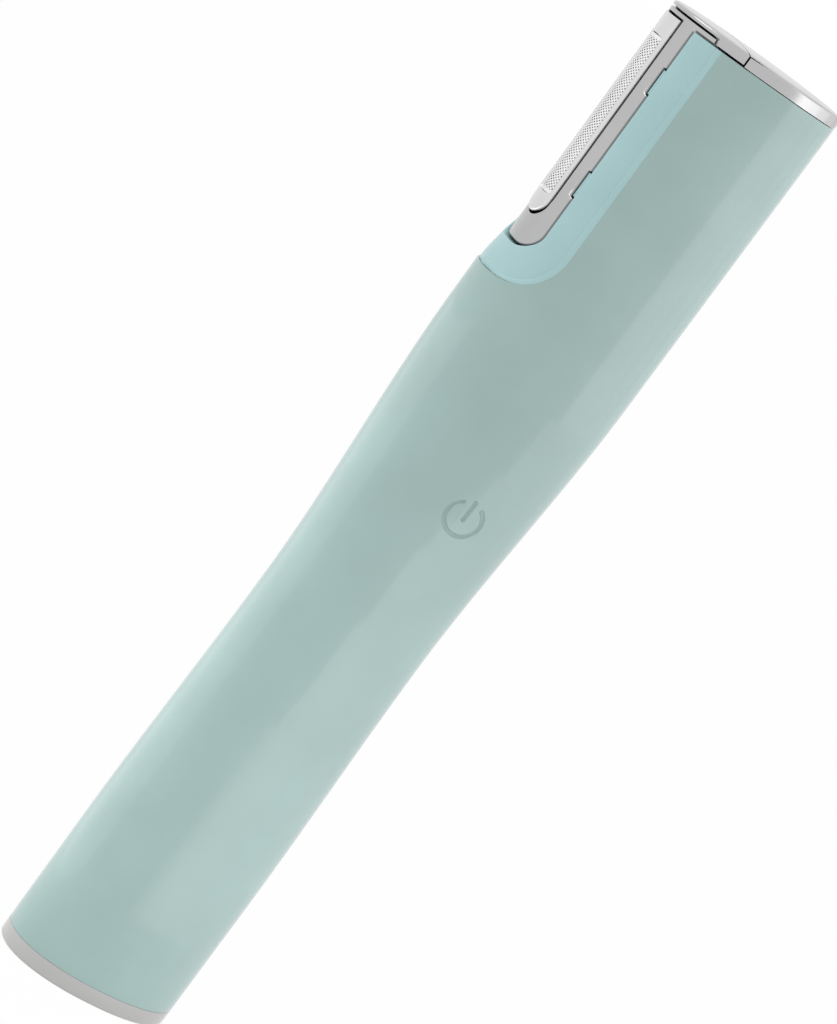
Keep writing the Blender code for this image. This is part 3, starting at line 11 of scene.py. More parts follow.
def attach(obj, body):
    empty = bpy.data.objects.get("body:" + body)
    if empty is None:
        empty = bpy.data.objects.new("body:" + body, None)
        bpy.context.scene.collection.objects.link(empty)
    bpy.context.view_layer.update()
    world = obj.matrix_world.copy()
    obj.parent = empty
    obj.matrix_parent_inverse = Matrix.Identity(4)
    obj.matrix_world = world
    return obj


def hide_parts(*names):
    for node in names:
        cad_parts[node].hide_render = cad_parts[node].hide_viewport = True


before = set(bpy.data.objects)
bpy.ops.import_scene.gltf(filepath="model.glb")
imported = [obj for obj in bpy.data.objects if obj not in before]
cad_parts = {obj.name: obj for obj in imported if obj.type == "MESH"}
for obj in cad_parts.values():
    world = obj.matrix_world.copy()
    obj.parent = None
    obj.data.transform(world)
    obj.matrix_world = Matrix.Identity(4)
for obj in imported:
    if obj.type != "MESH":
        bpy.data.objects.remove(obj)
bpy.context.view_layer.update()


# Casing: two satin moulded shells in sage green that meet at a seam near the back.
# The left one of their upper edges is cut away for the head; the front one has the button's hole.

MM = 0.001
WELD_STEPS = 2e4
OVAL = 2.2
BASE, WAIST, SHOULDER = np.array([13.0, 7.85]), np.array([12.3, 7.65]), np.array([14.1, 8.55])
STRAIGHT_END, WAIST_AT, SHOULDER_AT = 20, 61, 104
SEAM, SEAM_GAP, REAR_SEAM_GAP = 3.2, 0.15, 0.1
CASING_LOW, CASING_TOP, CASING_WALL = 2.4, 147.9, 1.2
EDGE, CUT_EDGE = 0.06, 0.02
SIDE_RADIUS, HEAD_RADIUS = 8, 12.4
HEAD_LOW, HEAD_EDGE, CORNER = 109.4, 7.73, np.array([6.37, 7.1])
BUTTON_AT, BUTTON_HOLE = np.array([1.6, 81.9]), 4.15


class Wire:
    """A value in a material: sums, products and powers of it become nodes of the same material."""

    def __init__(self, tree, socket=None):
        self.tree, self.socket = tree, socket

    def node(self, kind, settings=(), inputs=(), output=0):
        """Adds one node: its kind, its settings, what its sockets get, and the output to go on with."""
        made = self.tree.nodes.new("ShaderNode" + kind)
        for key, value in dict(settings).items():
            setattr(made, key, value)
        for key, value in dict(inputs).items():
            if isinstance(value, Wire):
                self.tree.links.new(value.socket, made.inputs[key])
            else:
                made.inputs[key].default_value = value
        return Wire(self.tree, made.outputs[output] if len(made.outputs) else None)

    def math(self, operation, *others):
        """Math node with this value first."""
        return self.node("Math", {"operation": operation}, enumerate((self, *others)))

    def __add__(self, other):
        return self.math("ADD", other)

    def __sub__(self, other):
        return self.math("SUBTRACT", other)

    def __rsub__(self, other):
        return self.math("MULTIPLY", -1).math("ADD", other)

    def __mul__(self, other):
        return self.math("MULTIPLY", other)

    def __truediv__(self, other):
        return self.math("DIVIDE", other)

    def __pow__(self, other):
        return self.math("POWER", other)

    __radd__, __rmul__ = __add__, __mul__

    def ramp(self, low, high):
        """Runs from 0 to 1 while this value runs from low to high, and stays there beyond."""
        return self.node("MapRange", {"interpolation_type": "SMOOTHSTEP"}, {0: self, 1: low, 2: high})

    def mix(self, first, second):
        """Colour between two colours, with this value as the share of the second."""
        return self.node("Mix", {"data_type": "RGBA"}, {0: self, 6: first, 7: second}, 2)


def colour(text):
    """Linear colour of a six-digit screen colour, by the screen's standard curve."""
    share = np.array([int(text[k:k + 2], 16) for k in (0, 2, 4)]) / 255
    linear = np.where(share < 0.04045, share / 12.92, ((share + 0.055) / 1.055) ** 2.4)
    return (*linear.tolist(), 1)


def look(name, main, rough, metal=0, coat=0, coat_rough=0.1, relief=0.004, mottle=0.03, wear=0.08,
         grains=2.5, blotches=0.09, extra=None):
    """Material with two noises, so many grains and blotches to the millimetre. The fine one lifts the
    surface by the relief (mm), the broad one mottles the colour, and both change the roughness by the
    wear. `extra` may change colour, roughness and relief by place."""
    material = bpy.data.materials.new(name)
    material.use_nodes = True
    tree = material.node_tree
    tree.nodes.clear()
    at = Wire(tree).node("TexCoord", output=3)
    solid = {"noise_dimensions": "3D"}
    fine = at.node("TexNoise", solid, {"Vector": at, "Scale": grains / MM, "Detail": 3})
    broad = at.node("TexNoise", solid, {"Vector": at, "Scale": blotches / MM, "Detail": 2})
    base = colour(main) if isinstance(main, str) else main
    dark = tuple(channel * (1 - mottle) for channel in base[:3]) + (1,)
    light = tuple(min(channel * (1 + mottle), 1) for channel in base[:3]) + (1,)
    tint = broad.ramp(0.3, 0.7).mix(dark, light)
    roughness = rough + wear * (broad - 0.5) + wear / 2 * (fine - 0.5)
    height = fine * (relief * MM)
    if extra:
        tint, roughness, height = extra(at, tint, roughness, height)
    bump = at.node("Bump", {}, {"Strength": 1.0, "Distance": 1.0, "Height": height})
    shader = at.node("BsdfPrincipled", {}, {"Base Color": tint, "Roughness": roughness, "Metallic": metal,
                                            "Coat Weight": coat, "Coat Roughness": coat_rough,
                                            "Normal": bump})
    shader.node("OutputMaterial", {}, {"Surface": shader})
    return material


def cells(rows, columns, around=False):
    """Corner numbers of the cells of a grid; going around, the last column joins the first."""
    down, across = np.mgrid[0:rows - 1, 0:columns - (0 if around else 1)]
    beside = (across + 1) % columns
    corners = (down * columns + across, down * columns + beside,
               (down + 1) * columns + beside, (down + 1) * columns + across)
    return np.stack(corners, -1)


def thick(outer, inner, keep=slice(None), around=False):
    """Closed wall between an outer and an inner grid of points, made of the cells that are kept and
    of a strip along each open edge."""
    quads = cells(*outer.shape[:2], around)[keep].reshape(-1, 4)
    edges = np.concatenate([quads[:, [k, (k + 1) % 4]] for k in range(4)])
    _, first, times = np.unique(np.sort(edges, 1), axis=0, return_index=True, return_counts=True)
    rim = edges[first[times == 1]]
    outer, inner = outer.reshape(-1, 3), inner.reshape(-1, 3)
    count = len(outer)
    return (np.concatenate([outer, inner]),
            np.concatenate([quads, quads[:, ::-1] + count, np.column_stack([rim[:, ::-1], rim + count])]))


def piece(name, shape, finish, body, *nodes, sharp=38):
    """Mesh object from points (mm) and cells: points in one place become one, cells that shrink to a
    line are dropped, and edges that bend by more than `sharp` degrees stay crisp."""
    points, quads = shape
    places = np.round(points * WELD_STEPS).astype(np.int64)
    _, kept, index = np.unique(places, axis=0, return_index=True, return_inverse=True)
    points, quads = points[kept], index.reshape(-1)[quads]
    same = quads == np.roll(quads, -1, 1)
    threes = quads[same.sum(1) == 1]
    turn = (np.argmax(same[same.sum(1) == 1], 1)[:, None] + np.arange(1, 4)) % 4
    faces = quads[~same.any(1)].tolist() + np.take_along_axis(threes, turn, 1).tolist()
    mesh = bpy.data.meshes.new(name)
    mesh.from_pydata((points * MM).tolist(), [], faces)
    mesh.update()
    thing = bpy.data.objects.new(name, mesh)
    bpy.context.scene.collection.objects.link(thing)
    bpy.context.view_layer.objects.active = thing
    bpy.ops.object.select_all(action="DESELECT")
    thing.select_set(True)
    bpy.ops.object.mode_set(mode="EDIT")
    bpy.ops.mesh.select_all(action="SELECT")
    bpy.ops.mesh.normals_make_consistent(inside=False)
    bpy.ops.object.mode_set(mode="OBJECT")
    mesh.shade_smooth()
    mesh.set_sharp_from_angle(angle=np.radians(sharp))
    mesh.materials.append(finish)
    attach(thing, body)
    if nodes:
        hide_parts(*nodes)


def drop(distance, radius):
    """Depth of a rounded edge below the surface at a distance from the edge: a quarter circle."""
    inward = np.clip(radius - distance, 0, radius)
    return radius - np.sqrt(radius ** 2 - inward ** 2)


def smooth(share):
    """Smooth step from 0 to 1: three times the square less twice the cube."""
    share = np.clip(share, 0, 1)
    return share * share * (3 - 2 * share)


def power(value, exponent):
    """Power of the size of a number that keeps its sign."""
    return np.sign(value) * np.abs(value) ** exponent


def half_sizes(z):
    """Half width and half depth at a height: smooth steps from the base to the waist and the shoulder."""
    low = smooth((z - STRAIGHT_END) / (WAIST_AT - STRAIGHT_END))
    high = smooth((z - WAIST_AT) / (SHOULDER_AT - WAIST_AT))
    return [base + (waist - base) * low + (shoulder - waist) * high
            for base, waist, shoulder in zip(BASE, WAIST, SHOULDER)]


def oval(turn, z, depth=0.0, sizes=None):
    """Point of the oval at a turn from the right and a height: each axis goes with a power of the
    cosine or sine; the depth draws both half sizes in."""
    width, deep = half_sizes(z) if sizes is None else sizes
    return np.stack(np.broadcast_arrays(power(np.cos(turn), 2 / OVAL) * (width - depth),
                                        power(np.sin(turn), 2 / OVAL) * (deep - depth), z), -1)


def lines(*stretches):
    """Places of grid lines: each stretch (start, end, count) is divided evenly."""
    return np.unique(np.round(np.concatenate([np.linspace(a, b, n + 1) for a, b, n in stretches]), 6))


def arc(count):
    """Shares from 0 to 1 that lie closer together near 0: one less the cosine of even turns."""
    return 1 - np.cos(np.linspace(0, np.pi / 2, count + 1))


def pulled_to_head(angle, angles, z, width, cut_angle, low, reach=11):
    """Places across and up of a shell's grid, whose lines near the head's cut are pulled from its
    square corner onto a quarter ellipse. The pull fades out smoothly with the distance to the cut,
    which is given back too."""
    right = np.maximum((angles[None] - cut_angle) * HEAD_RADIUS, 0) + 0 * z
    under = np.maximum(low - z, 0)
    wide, tall = CORNER + SEAM_GAP
    at_cut = power(np.sin(np.minimum(angle, cut_angle)), 2 / OVAL) * width
    from_left = np.clip((width + at_cut) / wide, 0, 1)
    above = np.clip((low + tall - np.maximum(z, low)) / tall, 0, 1)
    turn = np.where(z > low, np.pi / 4 * above, np.pi / 2 - np.pi / 4 * from_left)
    turn = np.where((angles[None] >= cut_angle) & (z <= low), np.pi / 4, turn)
    pull = 1 - smooth(np.maximum(right, under) / reach)
    across = power(np.sin(angle), 2 / OVAL) * width + pull * wide * (np.cos(turn) - from_left)
    up = z + pull * (tall * (1 - np.sin(turn)) - np.clip(z - low, 0, tall))
    return across, up, np.maximum(right, under)


def pulled_to_button(across, up, rows, columns, reach=4.5):
    """Places across and up with the border of a block of cells, given by its first and last row and
    column, moved straight out or in onto the button's round hole. The pull fades out smoothly round
    the block. Also tells which cells lie in the hole."""
    row, column = np.mgrid[0:across.shape[0], 0:across.shape[1]]
    nearest = np.clip(row, *rows), np.clip(column, *columns)
    block = np.stack([across[nearest], up[nearest]], -1) - BUTTON_AT
    goal = block / np.linalg.norm(block, axis=-1, keepdims=True) * BUTTON_HOLE
    away = np.maximum(np.abs(across - across[nearest]), np.abs(up - up[nearest]))
    pull = (1 - smooth(away / reach))[..., None] * (goal - block)
    hole = (row >= rows[0]) & (row < rows[1]) & (column >= columns[0]) & (column < columns[1])
    return across + pull[..., 0], up + pull[..., 1], hole[:-1, :-1]


def casing_shell(seam, with_button, knee_width=0.6, block_angles=(-0.15, 0.38), block_height=3.8,
                 button_zone=(74, 100), corner_height=8, slack=1e-3, tiny=1e-9):
    """Wall of one shell as seen from its own side. Its grid runs with the angle from the middle of
    that side and with the height; near the head and the button its lines are pulled onto their edges.
    SIDE_RADIUS and HEAD_RADIUS turn angles into lengths near the seam and near the head's cut."""
    edge = EDGE * arc(4)
    low = HEAD_LOW - SEAM_GAP
    cut_angle = -np.arcsin(((HEAD_EDGE - SEAM_GAP) / SHOULDER[0]) ** (OVAL / 2))
    side = np.pi / 2 + np.arcsin(power(seam / SHOULDER[1], OVAL / 2))
    knee = side - knee_width
    left, right = block_angles
    under, over = BUTTON_AT[1] - block_height, BUTTON_AT[1] + block_height
    angles = lines((-side, -knee, 14), (-knee, cut_angle, 14), (cut_angle, left, 8), (left, right, 16),
                   (right, knee, 18), (knee, side, 14))
    zone_low, zone_high = button_zone
    heights = lines((CASING_LOW, STRAIGHT_END, 12), (STRAIGHT_END, zone_low, 30), (zone_low, under, 5),
                    (under, over, 16), (over, zone_high, 14), (zone_high, low, 14),
                    (low, low + corner_height, 14), (low + corner_height, CASING_TOP, 24))
    angles = np.unique(np.concatenate([angles, -side + edge / SIDE_RADIUS, side - edge / SIDE_RADIUS,
                                       cut_angle + edge / HEAD_RADIUS]))
    heights = np.unique(np.concatenate([heights, CASING_LOW + edge, CASING_TOP - edge, low - edge]))
    angle, z = np.meshgrid(angles, heights)
    width, deep = half_sizes(z)
    at_seam = np.pi / 2 + np.arcsin(power(seam / deep, OVAL / 2))
    tail = np.clip((np.abs(angle) - knee) / (side - knee), 0, 1)
    angle = angle + np.sign(angle) * tail * (at_seam - side)
    across, up, to_cut = pulled_to_head(angle, angles, z, width, cut_angle, low)
    keep = ~((angles[None, 1:] <= cut_angle + tiny) & (heights[:-1, None] >= low - tiny))
    if with_button:
        columns = np.flatnonzero((angles > left - slack) & (angles < right + slack))[[0, -1]]
        rows = np.flatnonzero(np.abs(heights - BUTTON_AT[1]) < block_height + slack)[[0, -1]]
        across, up, hole = pulled_to_button(across, up, rows, columns)
        keep &= ~hole
    width, deep = half_sizes(up)
    share = np.clip(np.abs(across) / width, 0, 1) ** (OVAL / 2)
    front_angle = np.sign(across) * np.arcsin(share)
    angle = np.where(np.abs(angle) > np.pi / 2, np.sign(angle) * np.pi - front_angle, front_angle)
    depth = np.maximum.reduce([drop(up - CASING_LOW, EDGE), drop(CASING_TOP - up, EDGE),
                               drop((side - np.abs(angles[None])) * SIDE_RADIUS, EDGE) + 0 * z,
                               np.where(up > low - 1, drop(to_cut, CUT_EDGE), 0)])
    outer, inner = oval(angle - np.pi / 2, up, depth), oval(angle - np.pi / 2, up, CASING_WALL)
    return thick(outer, inner, keep)


SAGE = dict(main="A4C1BD", rough=0.45, coat=1.0)
sage = look("sage_plastic", **SAGE)
piece("front_shell", casing_shell(SEAM, True), sage, "wand", "front_casing")
rear_points, rear_cells = casing_shell(-SEAM - REAR_SEAM_GAP, False)
piece("rear_shell", (rear_points * (1, -1, 1), rear_cells), sage, "wand", "rear_cover")


# Power button: a disc of the same plastic, flush in the front shell with a hairline joint, whose
# engraved ring and bar are moulded in; a collar and a stem behind it press the switch.

def stack(*shapes):
    """Several shapes (points, cells) as one."""
    starts = np.cumsum([0] + [len(points) for points, _ in shapes])
    return (np.concatenate([points for points, _ in shapes]),
            np.concatenate([quads + start for (_, quads), start in zip(shapes, starts)]))


def tube(rings):
    """Surface through closed rings of points, one ring to a row."""
    return rings.reshape(-1, 3), cells(*rings.shape[:2], True).reshape(-1, 4)


def turned(profile, centre, count=48):
    """Profile (radius, place along Y) turned once round a line along Y."""
    turn = np.linspace(0, 2 * np.pi, count, endpoint=False)
    radius, along = np.array(profile).T
    ring = radius[:, None] * np.cos(turn), along[:, None] + 0 * turn, radius[:, None] * np.sin(turn)
    return tube(np.stack(ring, -1) + centre)


def button_shape(joint=0.003, deep_back=6.0, groove=0.28, ring=2.4, stroke=0.64, opening=0.6, wide=1.1,
                 shift=(0.1, 0.33), bar=(-0.1, 2.65), count=241, crowding=0.3):
    """Disc from a square grid squeezed into a circle, on the casing's oval, with a wall back to a flat
    side. The groove is a valley whose depth falls with the square of the distance to the middle line
    of an open ring and of a bar."""
    even = np.linspace(-1, 1, count)
    u, v = np.meshgrid(*[np.sin(even * np.pi / 2) * crowding + even * (1 - crowding)] * 2)
    radius = BUTTON_HOLE - joint
    side, up = radius * u * np.sqrt(1 - v * v / 2), radius * v * np.sqrt(1 - u * u / 2)
    right, high = side / wide + shift[0], up + shift[1]
    away, turn = np.hypot(right, high), np.abs(np.arctan2(right, high))
    end = ring * np.array([np.sin(opening), np.cos(opening)])
    to_ring = np.where(turn > opening, np.abs(away - ring), np.hypot(np.abs(right) - end[0], high - end[1]))
    to_bar = np.hypot(right, high - np.clip(high, *bar))
    near = np.minimum(to_ring, to_bar) / (stroke / 2)
    cut = groove * np.clip(1 - near ** 2, 0, 1)
    width, deep = half_sizes(up + BUTTON_AT[1])
    across = side + BUTTON_AT[0]
    front = -deep * (1 - (np.abs(across) / width) ** OVAL) ** (1 / OVAL)
    face = np.stack([across, front + cut, up + BUTTON_AT[1]], -1)
    rim = np.concatenate([face[0], face[1:, -1], face[-1, -2::-1], face[-2:0:-1, 0]])
    back = rim * (1, 0, 1) - (0, deep_back, 0)
    middle = 0 * back + (BUTTON_AT[0], -deep_back, BUTTON_AT[1])
    wall = tube(np.stack([rim, back, middle]))
    return stack((face.reshape(-1, 3), cells(*face.shape[:2]).reshape(-1, 4)), wall)


stem_profile = [(0, -6.3), (4.7, -6.3), (4.8, -6.2), (4.8, -5.7), (4.7, -5.6), (1.5, -5.6), (1.4, -5.5),
                (1.4, -5.0), (1.3, -4.9), (0, -4.9)]
stem = turned(stem_profile, (BUTTON_AT[0], 0, BUTTON_AT[1]))
piece("button", stack(button_shape(), stem), look("button_plastic", **SAGE), "button", "power_button")


# Head surround: a paler blue moulded insert, flush with the casing round it, with a fine line along
# its rim. Its outer border follows the casing's cut and its inner border is the pocket that the
# cassette clips into; a tray floor with a hole for the drive's post closes the pocket behind.

HEAD_DEEP, HEAD_CENTRE = 8.85, 133.05
TRAY_FRONT, TRAY_BACK = -6.77, -5.97
FRAME, SLOT, POCKET_GAP = (4.65, 114.0, 3.0), (2.6, 117.9, 2.6), 0.3
HEIGHTS = np.concatenate([np.linspace(CASING_TOP, 142.35, 5),
                          [142.28, 142.2, 142.1, 140.2, 138.4, 138.24, 138.16], np.linspace(138.0, 127.0, 9),
                          [126.8, 126.73, 126.65, 124.7, 122.8, 122.73, 122.65, 122.0, 121.3]])


def channel(outline, grow=0.0, top=CASING_TOP):
    """Path (y, z) down the front side, round a rounded lower end and up the rear side of an outline
    (half width, low end, corner radius) that is grown by a length. Its heights lie close together
    at the notches' ends."""
    half, low, corner = outline[0] + grow, outline[1] - grow, outline[2] + grow
    turn = np.linspace(0, np.pi / 2, 13)[1:-1]
    straight = HEIGHTS + (top - CASING_TOP) * (HEIGHTS == HEIGHTS[0])
    down = np.linspace(straight[-1], low + corner, 6)[1:]
    flat = np.linspace(corner - half, 0, 9)
    sides = np.full(len(straight) + len(down), -half)
    y = np.concatenate([sides, -half + corner * (1 - np.cos(turn)), flat])
    z = np.concatenate([straight, down, low + corner * (1 - np.sin(turn)), 0 * flat + low])
    return np.stack([np.concatenate([y, -y[-2::-1]]), np.concatenate([z, z[-2::-1]])], -1)


def head_width(z, at_cut=13.8, at_face=12.92, start=109.1, blend=7.5):
    """Half width of the surround: eased from the casing's edge into the head's narrower face."""
    return at_cut + (at_face - at_cut) * smooth((z - start) / blend)


def head_border(count, grow=0.15, end=0.3):
    """Outer border as (angle from the left, z): straight at the casing's cut, then a quarter ellipse
    that reaches the leftmost line of the head."""
    wide, tall = CORNER + grow
    down = np.linspace(HEIGHTS[-1], HEAD_LOW + CORNER[1], 6)[1:]
    straight = np.concatenate([HEIGHTS, down])
    turn = np.linspace(0, np.arccos((end + grow) / wide), count - len(straight) + 1)[1:]
    z = np.concatenate([straight, HEAD_LOW - grow + tall * (1 - np.sin(turn))])
    left = np.concatenate([np.full(len(straight), HEAD_EDGE - grow), SHOULDER[0] - wide * np.cos(turn)])
    angle = np.arccos(np.clip(left / head_width(z), 0, 1) ** (OVAL / 2))
    angle[-1] = 0
    return np.stack([np.concatenate([angle, -angle[-2::-1]]), np.concatenate([z, z[-2::-1]])], -1)


def between(first, second, places):
    """Grid of points from one path (columns of it) to another at given shares."""
    return first[:, None] + (second - first)[:, None] * places[..., None]


def carried(edge, path, end, count):
    """Points that continue a surface's edge inward along X over a path, in even steps to their end."""
    x = edge[:, None, 0] + (end - edge[:, None, 0]) * np.linspace(0, 1, count + 1)[1:]
    return np.stack([x, path[:, :1] + 0 * x, path[:, 1:] + 0 * x], -1)


def surround_shape(lip=0.25, pocket_edge=0.02, wall=0.9, skin=1.2, line_at=0.65, line_reach=0.3,
                   line_wide=0.14, line_deep=0.045):
    """Wall over the head's oval between its borders, which turns in at the pocket and ends at the tray.
    Its depth is a rounding at each border and a fine line along the outer one: a bell curve of the
    distance from that border."""
    def angled(path):
        angle = np.arcsin(np.clip(power(-path[:, 0] / HEAD_DEEP, OVAL / 2), -1, 1))
        return np.stack([angle, path[:, 1]], -1)

    def on_oval(grid, inset):
        angle, z = grid[..., 0], grid[..., 1]
        return np.stack([-power(np.cos(angle), 2 / OVAL) * (head_width(z) - inset),
                         -power(np.sin(angle), 2 / OVAL) * (HEAD_DEEP - inset), z], -1)

    pocket, behind = channel(FRAME, POCKET_GAP), channel(FRAME, POCKET_GAP + wall)
    border = head_border(len(pocket) // 2 + 1)
    reach = np.hypot(*((border - angled(pocket)) * (HEAD_DEEP, 1)).T)[:, None]
    start, line = lip * arc(4), line_at + line_reach * np.linspace(-1, 1, 9)
    plain = line[-1] + np.linspace(0, 1, 13)[None, 1:-1] * (reach - lip - line[-1])
    distance = np.concatenate([start + 0 * reach, line + 0 * reach, plain, reach - start[::-1]], 1)
    depth = np.maximum(drop(distance, pocket_edge), drop(reach - distance, lip))
    depth = depth + line_deep * np.exp(-((distance - line_at) / line_wide) ** 2)
    outer = on_oval(between(border, angled(pocket), distance / reach), depth)
    inner = on_oval(between(border, angled(behind), distance / reach), skin)
    outer = np.concatenate([outer, carried(outer[:, -1], pocket, TRAY_FRONT, 6)], 1)
    inner = np.concatenate([inner, carried(inner[:, -1], behind, TRAY_FRONT + 0.2, 6)], 1)
    return thick(outer, inner)


def closed(path):
    """Channel path closed across its top end."""
    across = np.linspace(path[-1, 0], path[0, 0], 12)[1:-1]
    return np.concatenate([path, np.stack([across, 0 * across + path[0, 1]], -1)])


def squared(half, reach, path):
    """Rectangle about the head's centre with as many points as a closed path, each at the same share
    of its side."""
    away = path - np.array([0, (path[:, 1].min() + path[:, 1].max()) / 2])
    away = away / np.abs(away).max(0)
    return np.array([0, HEAD_CENTRE]) + away / np.abs(away).max(1, keepdims=True) * np.array([half, reach])


def tray_shape(grow=0.95, hole=(1.3, 2.3)):
    """Plate between two places along X, from its outline to an oblong hole."""
    outline = closed(channel(FRAME, grow))
    grid = between(outline, squared(*hole, outline), np.linspace(0, 1, 5)[None] + 0 * outline[:, :1])
    grid = np.swapaxes(grid, 0, 1)
    faces = [np.concatenate([np.full((*grid.shape[:2], 1), x), grid], -1) for x in (TRAY_FRONT, TRAY_BACK)]
    return thick(*faces, around=True)


pale_blue = look("pale_blue_plastic", "B3D8DA", 0.34, coat=0.3)
piece("surround", stack(surround_shape(), tray_shape()), pale_blue, "wand", "head_surround")


# Cassette frame: a polished chrome plate round a slot, with a notch for each rib of the surround,
# walls that go into the pocket and a thin flange on top. It is bright plated and pulls off sideways.

FACE = np.array([12.62, 8.35])
FRAME_TOP = 148.3
NOTCHES, NOTCH_REACH, NOTCH_DEEP, NOTCH_SLOPE = (124.73, 140.24), 2.04, 0.5, 0.08
FLANGE_EDGE, FLANGE_LOW, FLANGE_HIGH = -8.75, 148.2, 148.7
CAP_STEP, STEP_FOOT = -8.45, 149.0


def face_x(y, inset=0.0):
    """Place of the frame's oval face at a place across it: the oval's equation solved for X."""
    return -(FACE[0] - inset) * (1 - (np.abs(y) / (FACE[1] - inset)) ** OVAL) ** (1 / OVAL)


def on_face(grid, inset):
    """Points of the frame's oval face, drawn in by an inset, at places (y, z)."""
    return np.stack([face_x(grid[..., 0], inset), grid[..., 0], grid[..., 1]], -1)


def frame_shape(lip=0.25, back=-7.07, wall=0.9, skin=1.0):
    """Face plate between the slot's border and the outer border, rounded at both, then the outer wall
    inward. A notch is a smooth step of the distance from its middle."""
    border, slot, hollow = [channel(outline, grow, FRAME_TOP)
                            for outline, grow in ((FRAME, 0), (SLOT, 0), (FRAME, -wall))]
    y, z = border.T
    for middle in NOTCHES:
        inside = smooth((NOTCH_REACH - np.abs(z - middle)) / NOTCH_SLOPE)
        border[:, 0] = y - np.sign(y) * NOTCH_DEEP * inside
    reach = np.hypot(*(border - slot).T)[:, None]
    start, share = lip * arc(4), np.linspace(0, 1, 9)[None, 1:-1]
    distance = np.concatenate([start + 0 * reach, lip + share * (reach - 2 * lip), reach - start[::-1]], 1)
    depth = np.maximum(drop(distance, lip), drop(reach - distance, lip))
    outer = on_face(between(slot, border, distance / reach), depth)
    inner = on_face(between(slot, hollow, distance / reach), skin)
    outer = np.concatenate([outer, carried(outer[:, -1], border, back, 5)], 1)
    inner = np.concatenate([inner, carried(inner[:, -1], hollow, back, 5)], 1)
    return thick(outer, inner)


def rib_shape(middle, side, inset=0.14, outside=4.97, inside=4.3, reach=1.75, deep=6.9):
    """Rib that fills one notch of the frame: a small grid below the frame's oval, carried inward."""
    across, up = side * np.linspace(outside, inside, 5), middle + np.linspace(-reach, reach, 9)
    front = on_face(np.stack(np.meshgrid(across, up), -1), inset)
    return thick(front, front * (0, 1, 1) - (deep, 0, 0))


ribs = [rib_shape(middle, side) for middle in NOTCHES for side in (-1, 1)]
piece("clip_ribs", stack(*ribs), pale_blue, "wand")


def turn_at(x):
    """Turn from the right at which the band's outline passes a place left of its middle."""
    return np.arccos(-(abs(x) / FACE[0]) ** (OVAL / 2))


def left_turns(cut, extra=()):
    """Turns along the band's outline left of a cut across it, with extra ones."""
    return np.unique(np.concatenate([np.linspace(turn_at(cut), 2 * np.pi - turn_at(cut), 60), extra]))


def on_band(turn, inset=0.0):
    """Point (x, y) of the top band's outline, which is the shoulder's oval, narrower on its left."""
    width = np.where(np.cos(turn) < 0, FACE[0], SHOULDER[0]) - inset
    return np.stack([power(np.cos(turn), 2 / OVAL) * width,
                     power(np.sin(turn), 2 / OVAL) * (SHOULDER[1] - inset)], -1)


def flange_shape():
    """Thin plate of the band's outline left of its edge."""
    turn = left_turns(FLANGE_EDGE)
    rim = on_band(turn)
    chord = np.stack([np.full(len(turn), FLANGE_EDGE), rim[:, 1]], -1)
    grid = between(chord, rim, np.linspace(0, 1, 9)[None] + 0 * turn[:, None])
    return thick(*[np.concatenate([grid, np.full((*grid.shape[:2], 1), z)], -1)
                   for z in (FLANGE_HIGH, FLANGE_LOW)])


def painted_joint_shade(at, tint, roughness, height, shadow=(0.16, 0.165, 0.17, 1), rim_shade_share=0.86,
              open_share=(0.965, 0.992)):
    """Paints shade onto the cassette's chrome by place, where its joints lie in shadow: below the face's
    oval, along the outer rim of the face, in the slit between flange and cap, and in the gap at the flange's
    edge."""
    def past(value, place, blend=0.03):
        return value.ramp(place * MM, (place + blend) * MM)

    x, y, z = [at.node("SeparateXYZ", {}, {0: at}, k) for k in range(3)]
    share = (x.math("ABSOLUTE") / (FACE[0] * MM)) ** OVAL + (y.math("ABSOLUTE") / (FACE[1] * MM)) ** OVAL
    open_face = share.ramp(*open_share) + past(z, FLANGE_LOW - 0.02, 0.02)
    slit = past(z, FLANGE_HIGH - 0.03) * (1 - past(z, STEP_FOOT)) * (1 - past(x, CAP_STEP - 0.05))
    end = past(x, FLANGE_EDGE - 0.01, 0.02) * (1 - past(x, CAP_STEP, 0.02)) * (1 - past(z, STEP_FOOT))
    half, low, corner = FRAME
    beside = (y.math("ABSOLUTE") - (half - corner) * MM).math("MAXIMUM", 0.0)
    under = ((low + corner) * MM - z).math("MAXIMUM", 0.0)
    from_core = (beside * beside + under * under) ** 0.5
    rim = past(from_core, corner - 0.28, 0.12) * (1 - past(z, CASING_TOP - 0.1, 0.1)) * rim_shade_share
    # Painted shade: the chrome's colour is mixed toward the dark shadow colour in these joints and gaps.
    shade = (((open_face - slit) - end) - rim).math("MINIMUM", 1.0).math("MAXIMUM", 0.0)
    return shade.mix(shadow, tint), roughness, height


CHROME = dict(main=(0.5, 0.5, 0.505, 1), rough=0.2, metal=1, relief=0.0006, mottle=0.02, wear=0.05)
chrome = look("chrome", **CHROME)
# The cassette's frame and left cap carry painted shade in their joints and gaps.
chrome_painted_shade = look("chrome_with_painted_shade", **CHROME, extra=painted_joint_shade)
piece("cassette_body", stack(frame_shape(), flange_shape()), chrome_painted_shade, "cassette", "cassette_frame")


# Top band: a low chrome dome in two caps with a fine gap between them. The left one has a step over
# the flange and comes off with the cassette; the right one closes the casing.

STEP_SLOPE = 0.03
CASSETTE_CUT, WAND_CUT = -4.58, -4.42


def band_share(place, inset=0.0):
    """How far out a point (x, y) lies in the band: the sum of its two shares of the half sizes, each to
    the oval's power; 1 on the outline."""
    width = np.where(place[..., 0] < 0, FACE[0], SHOULDER[0]) - inset
    return ((np.abs(place[..., 0]) / width) ** OVAL
            + (np.abs(place[..., 1]) / (SHOULDER[1] - inset)) ** OVAL)


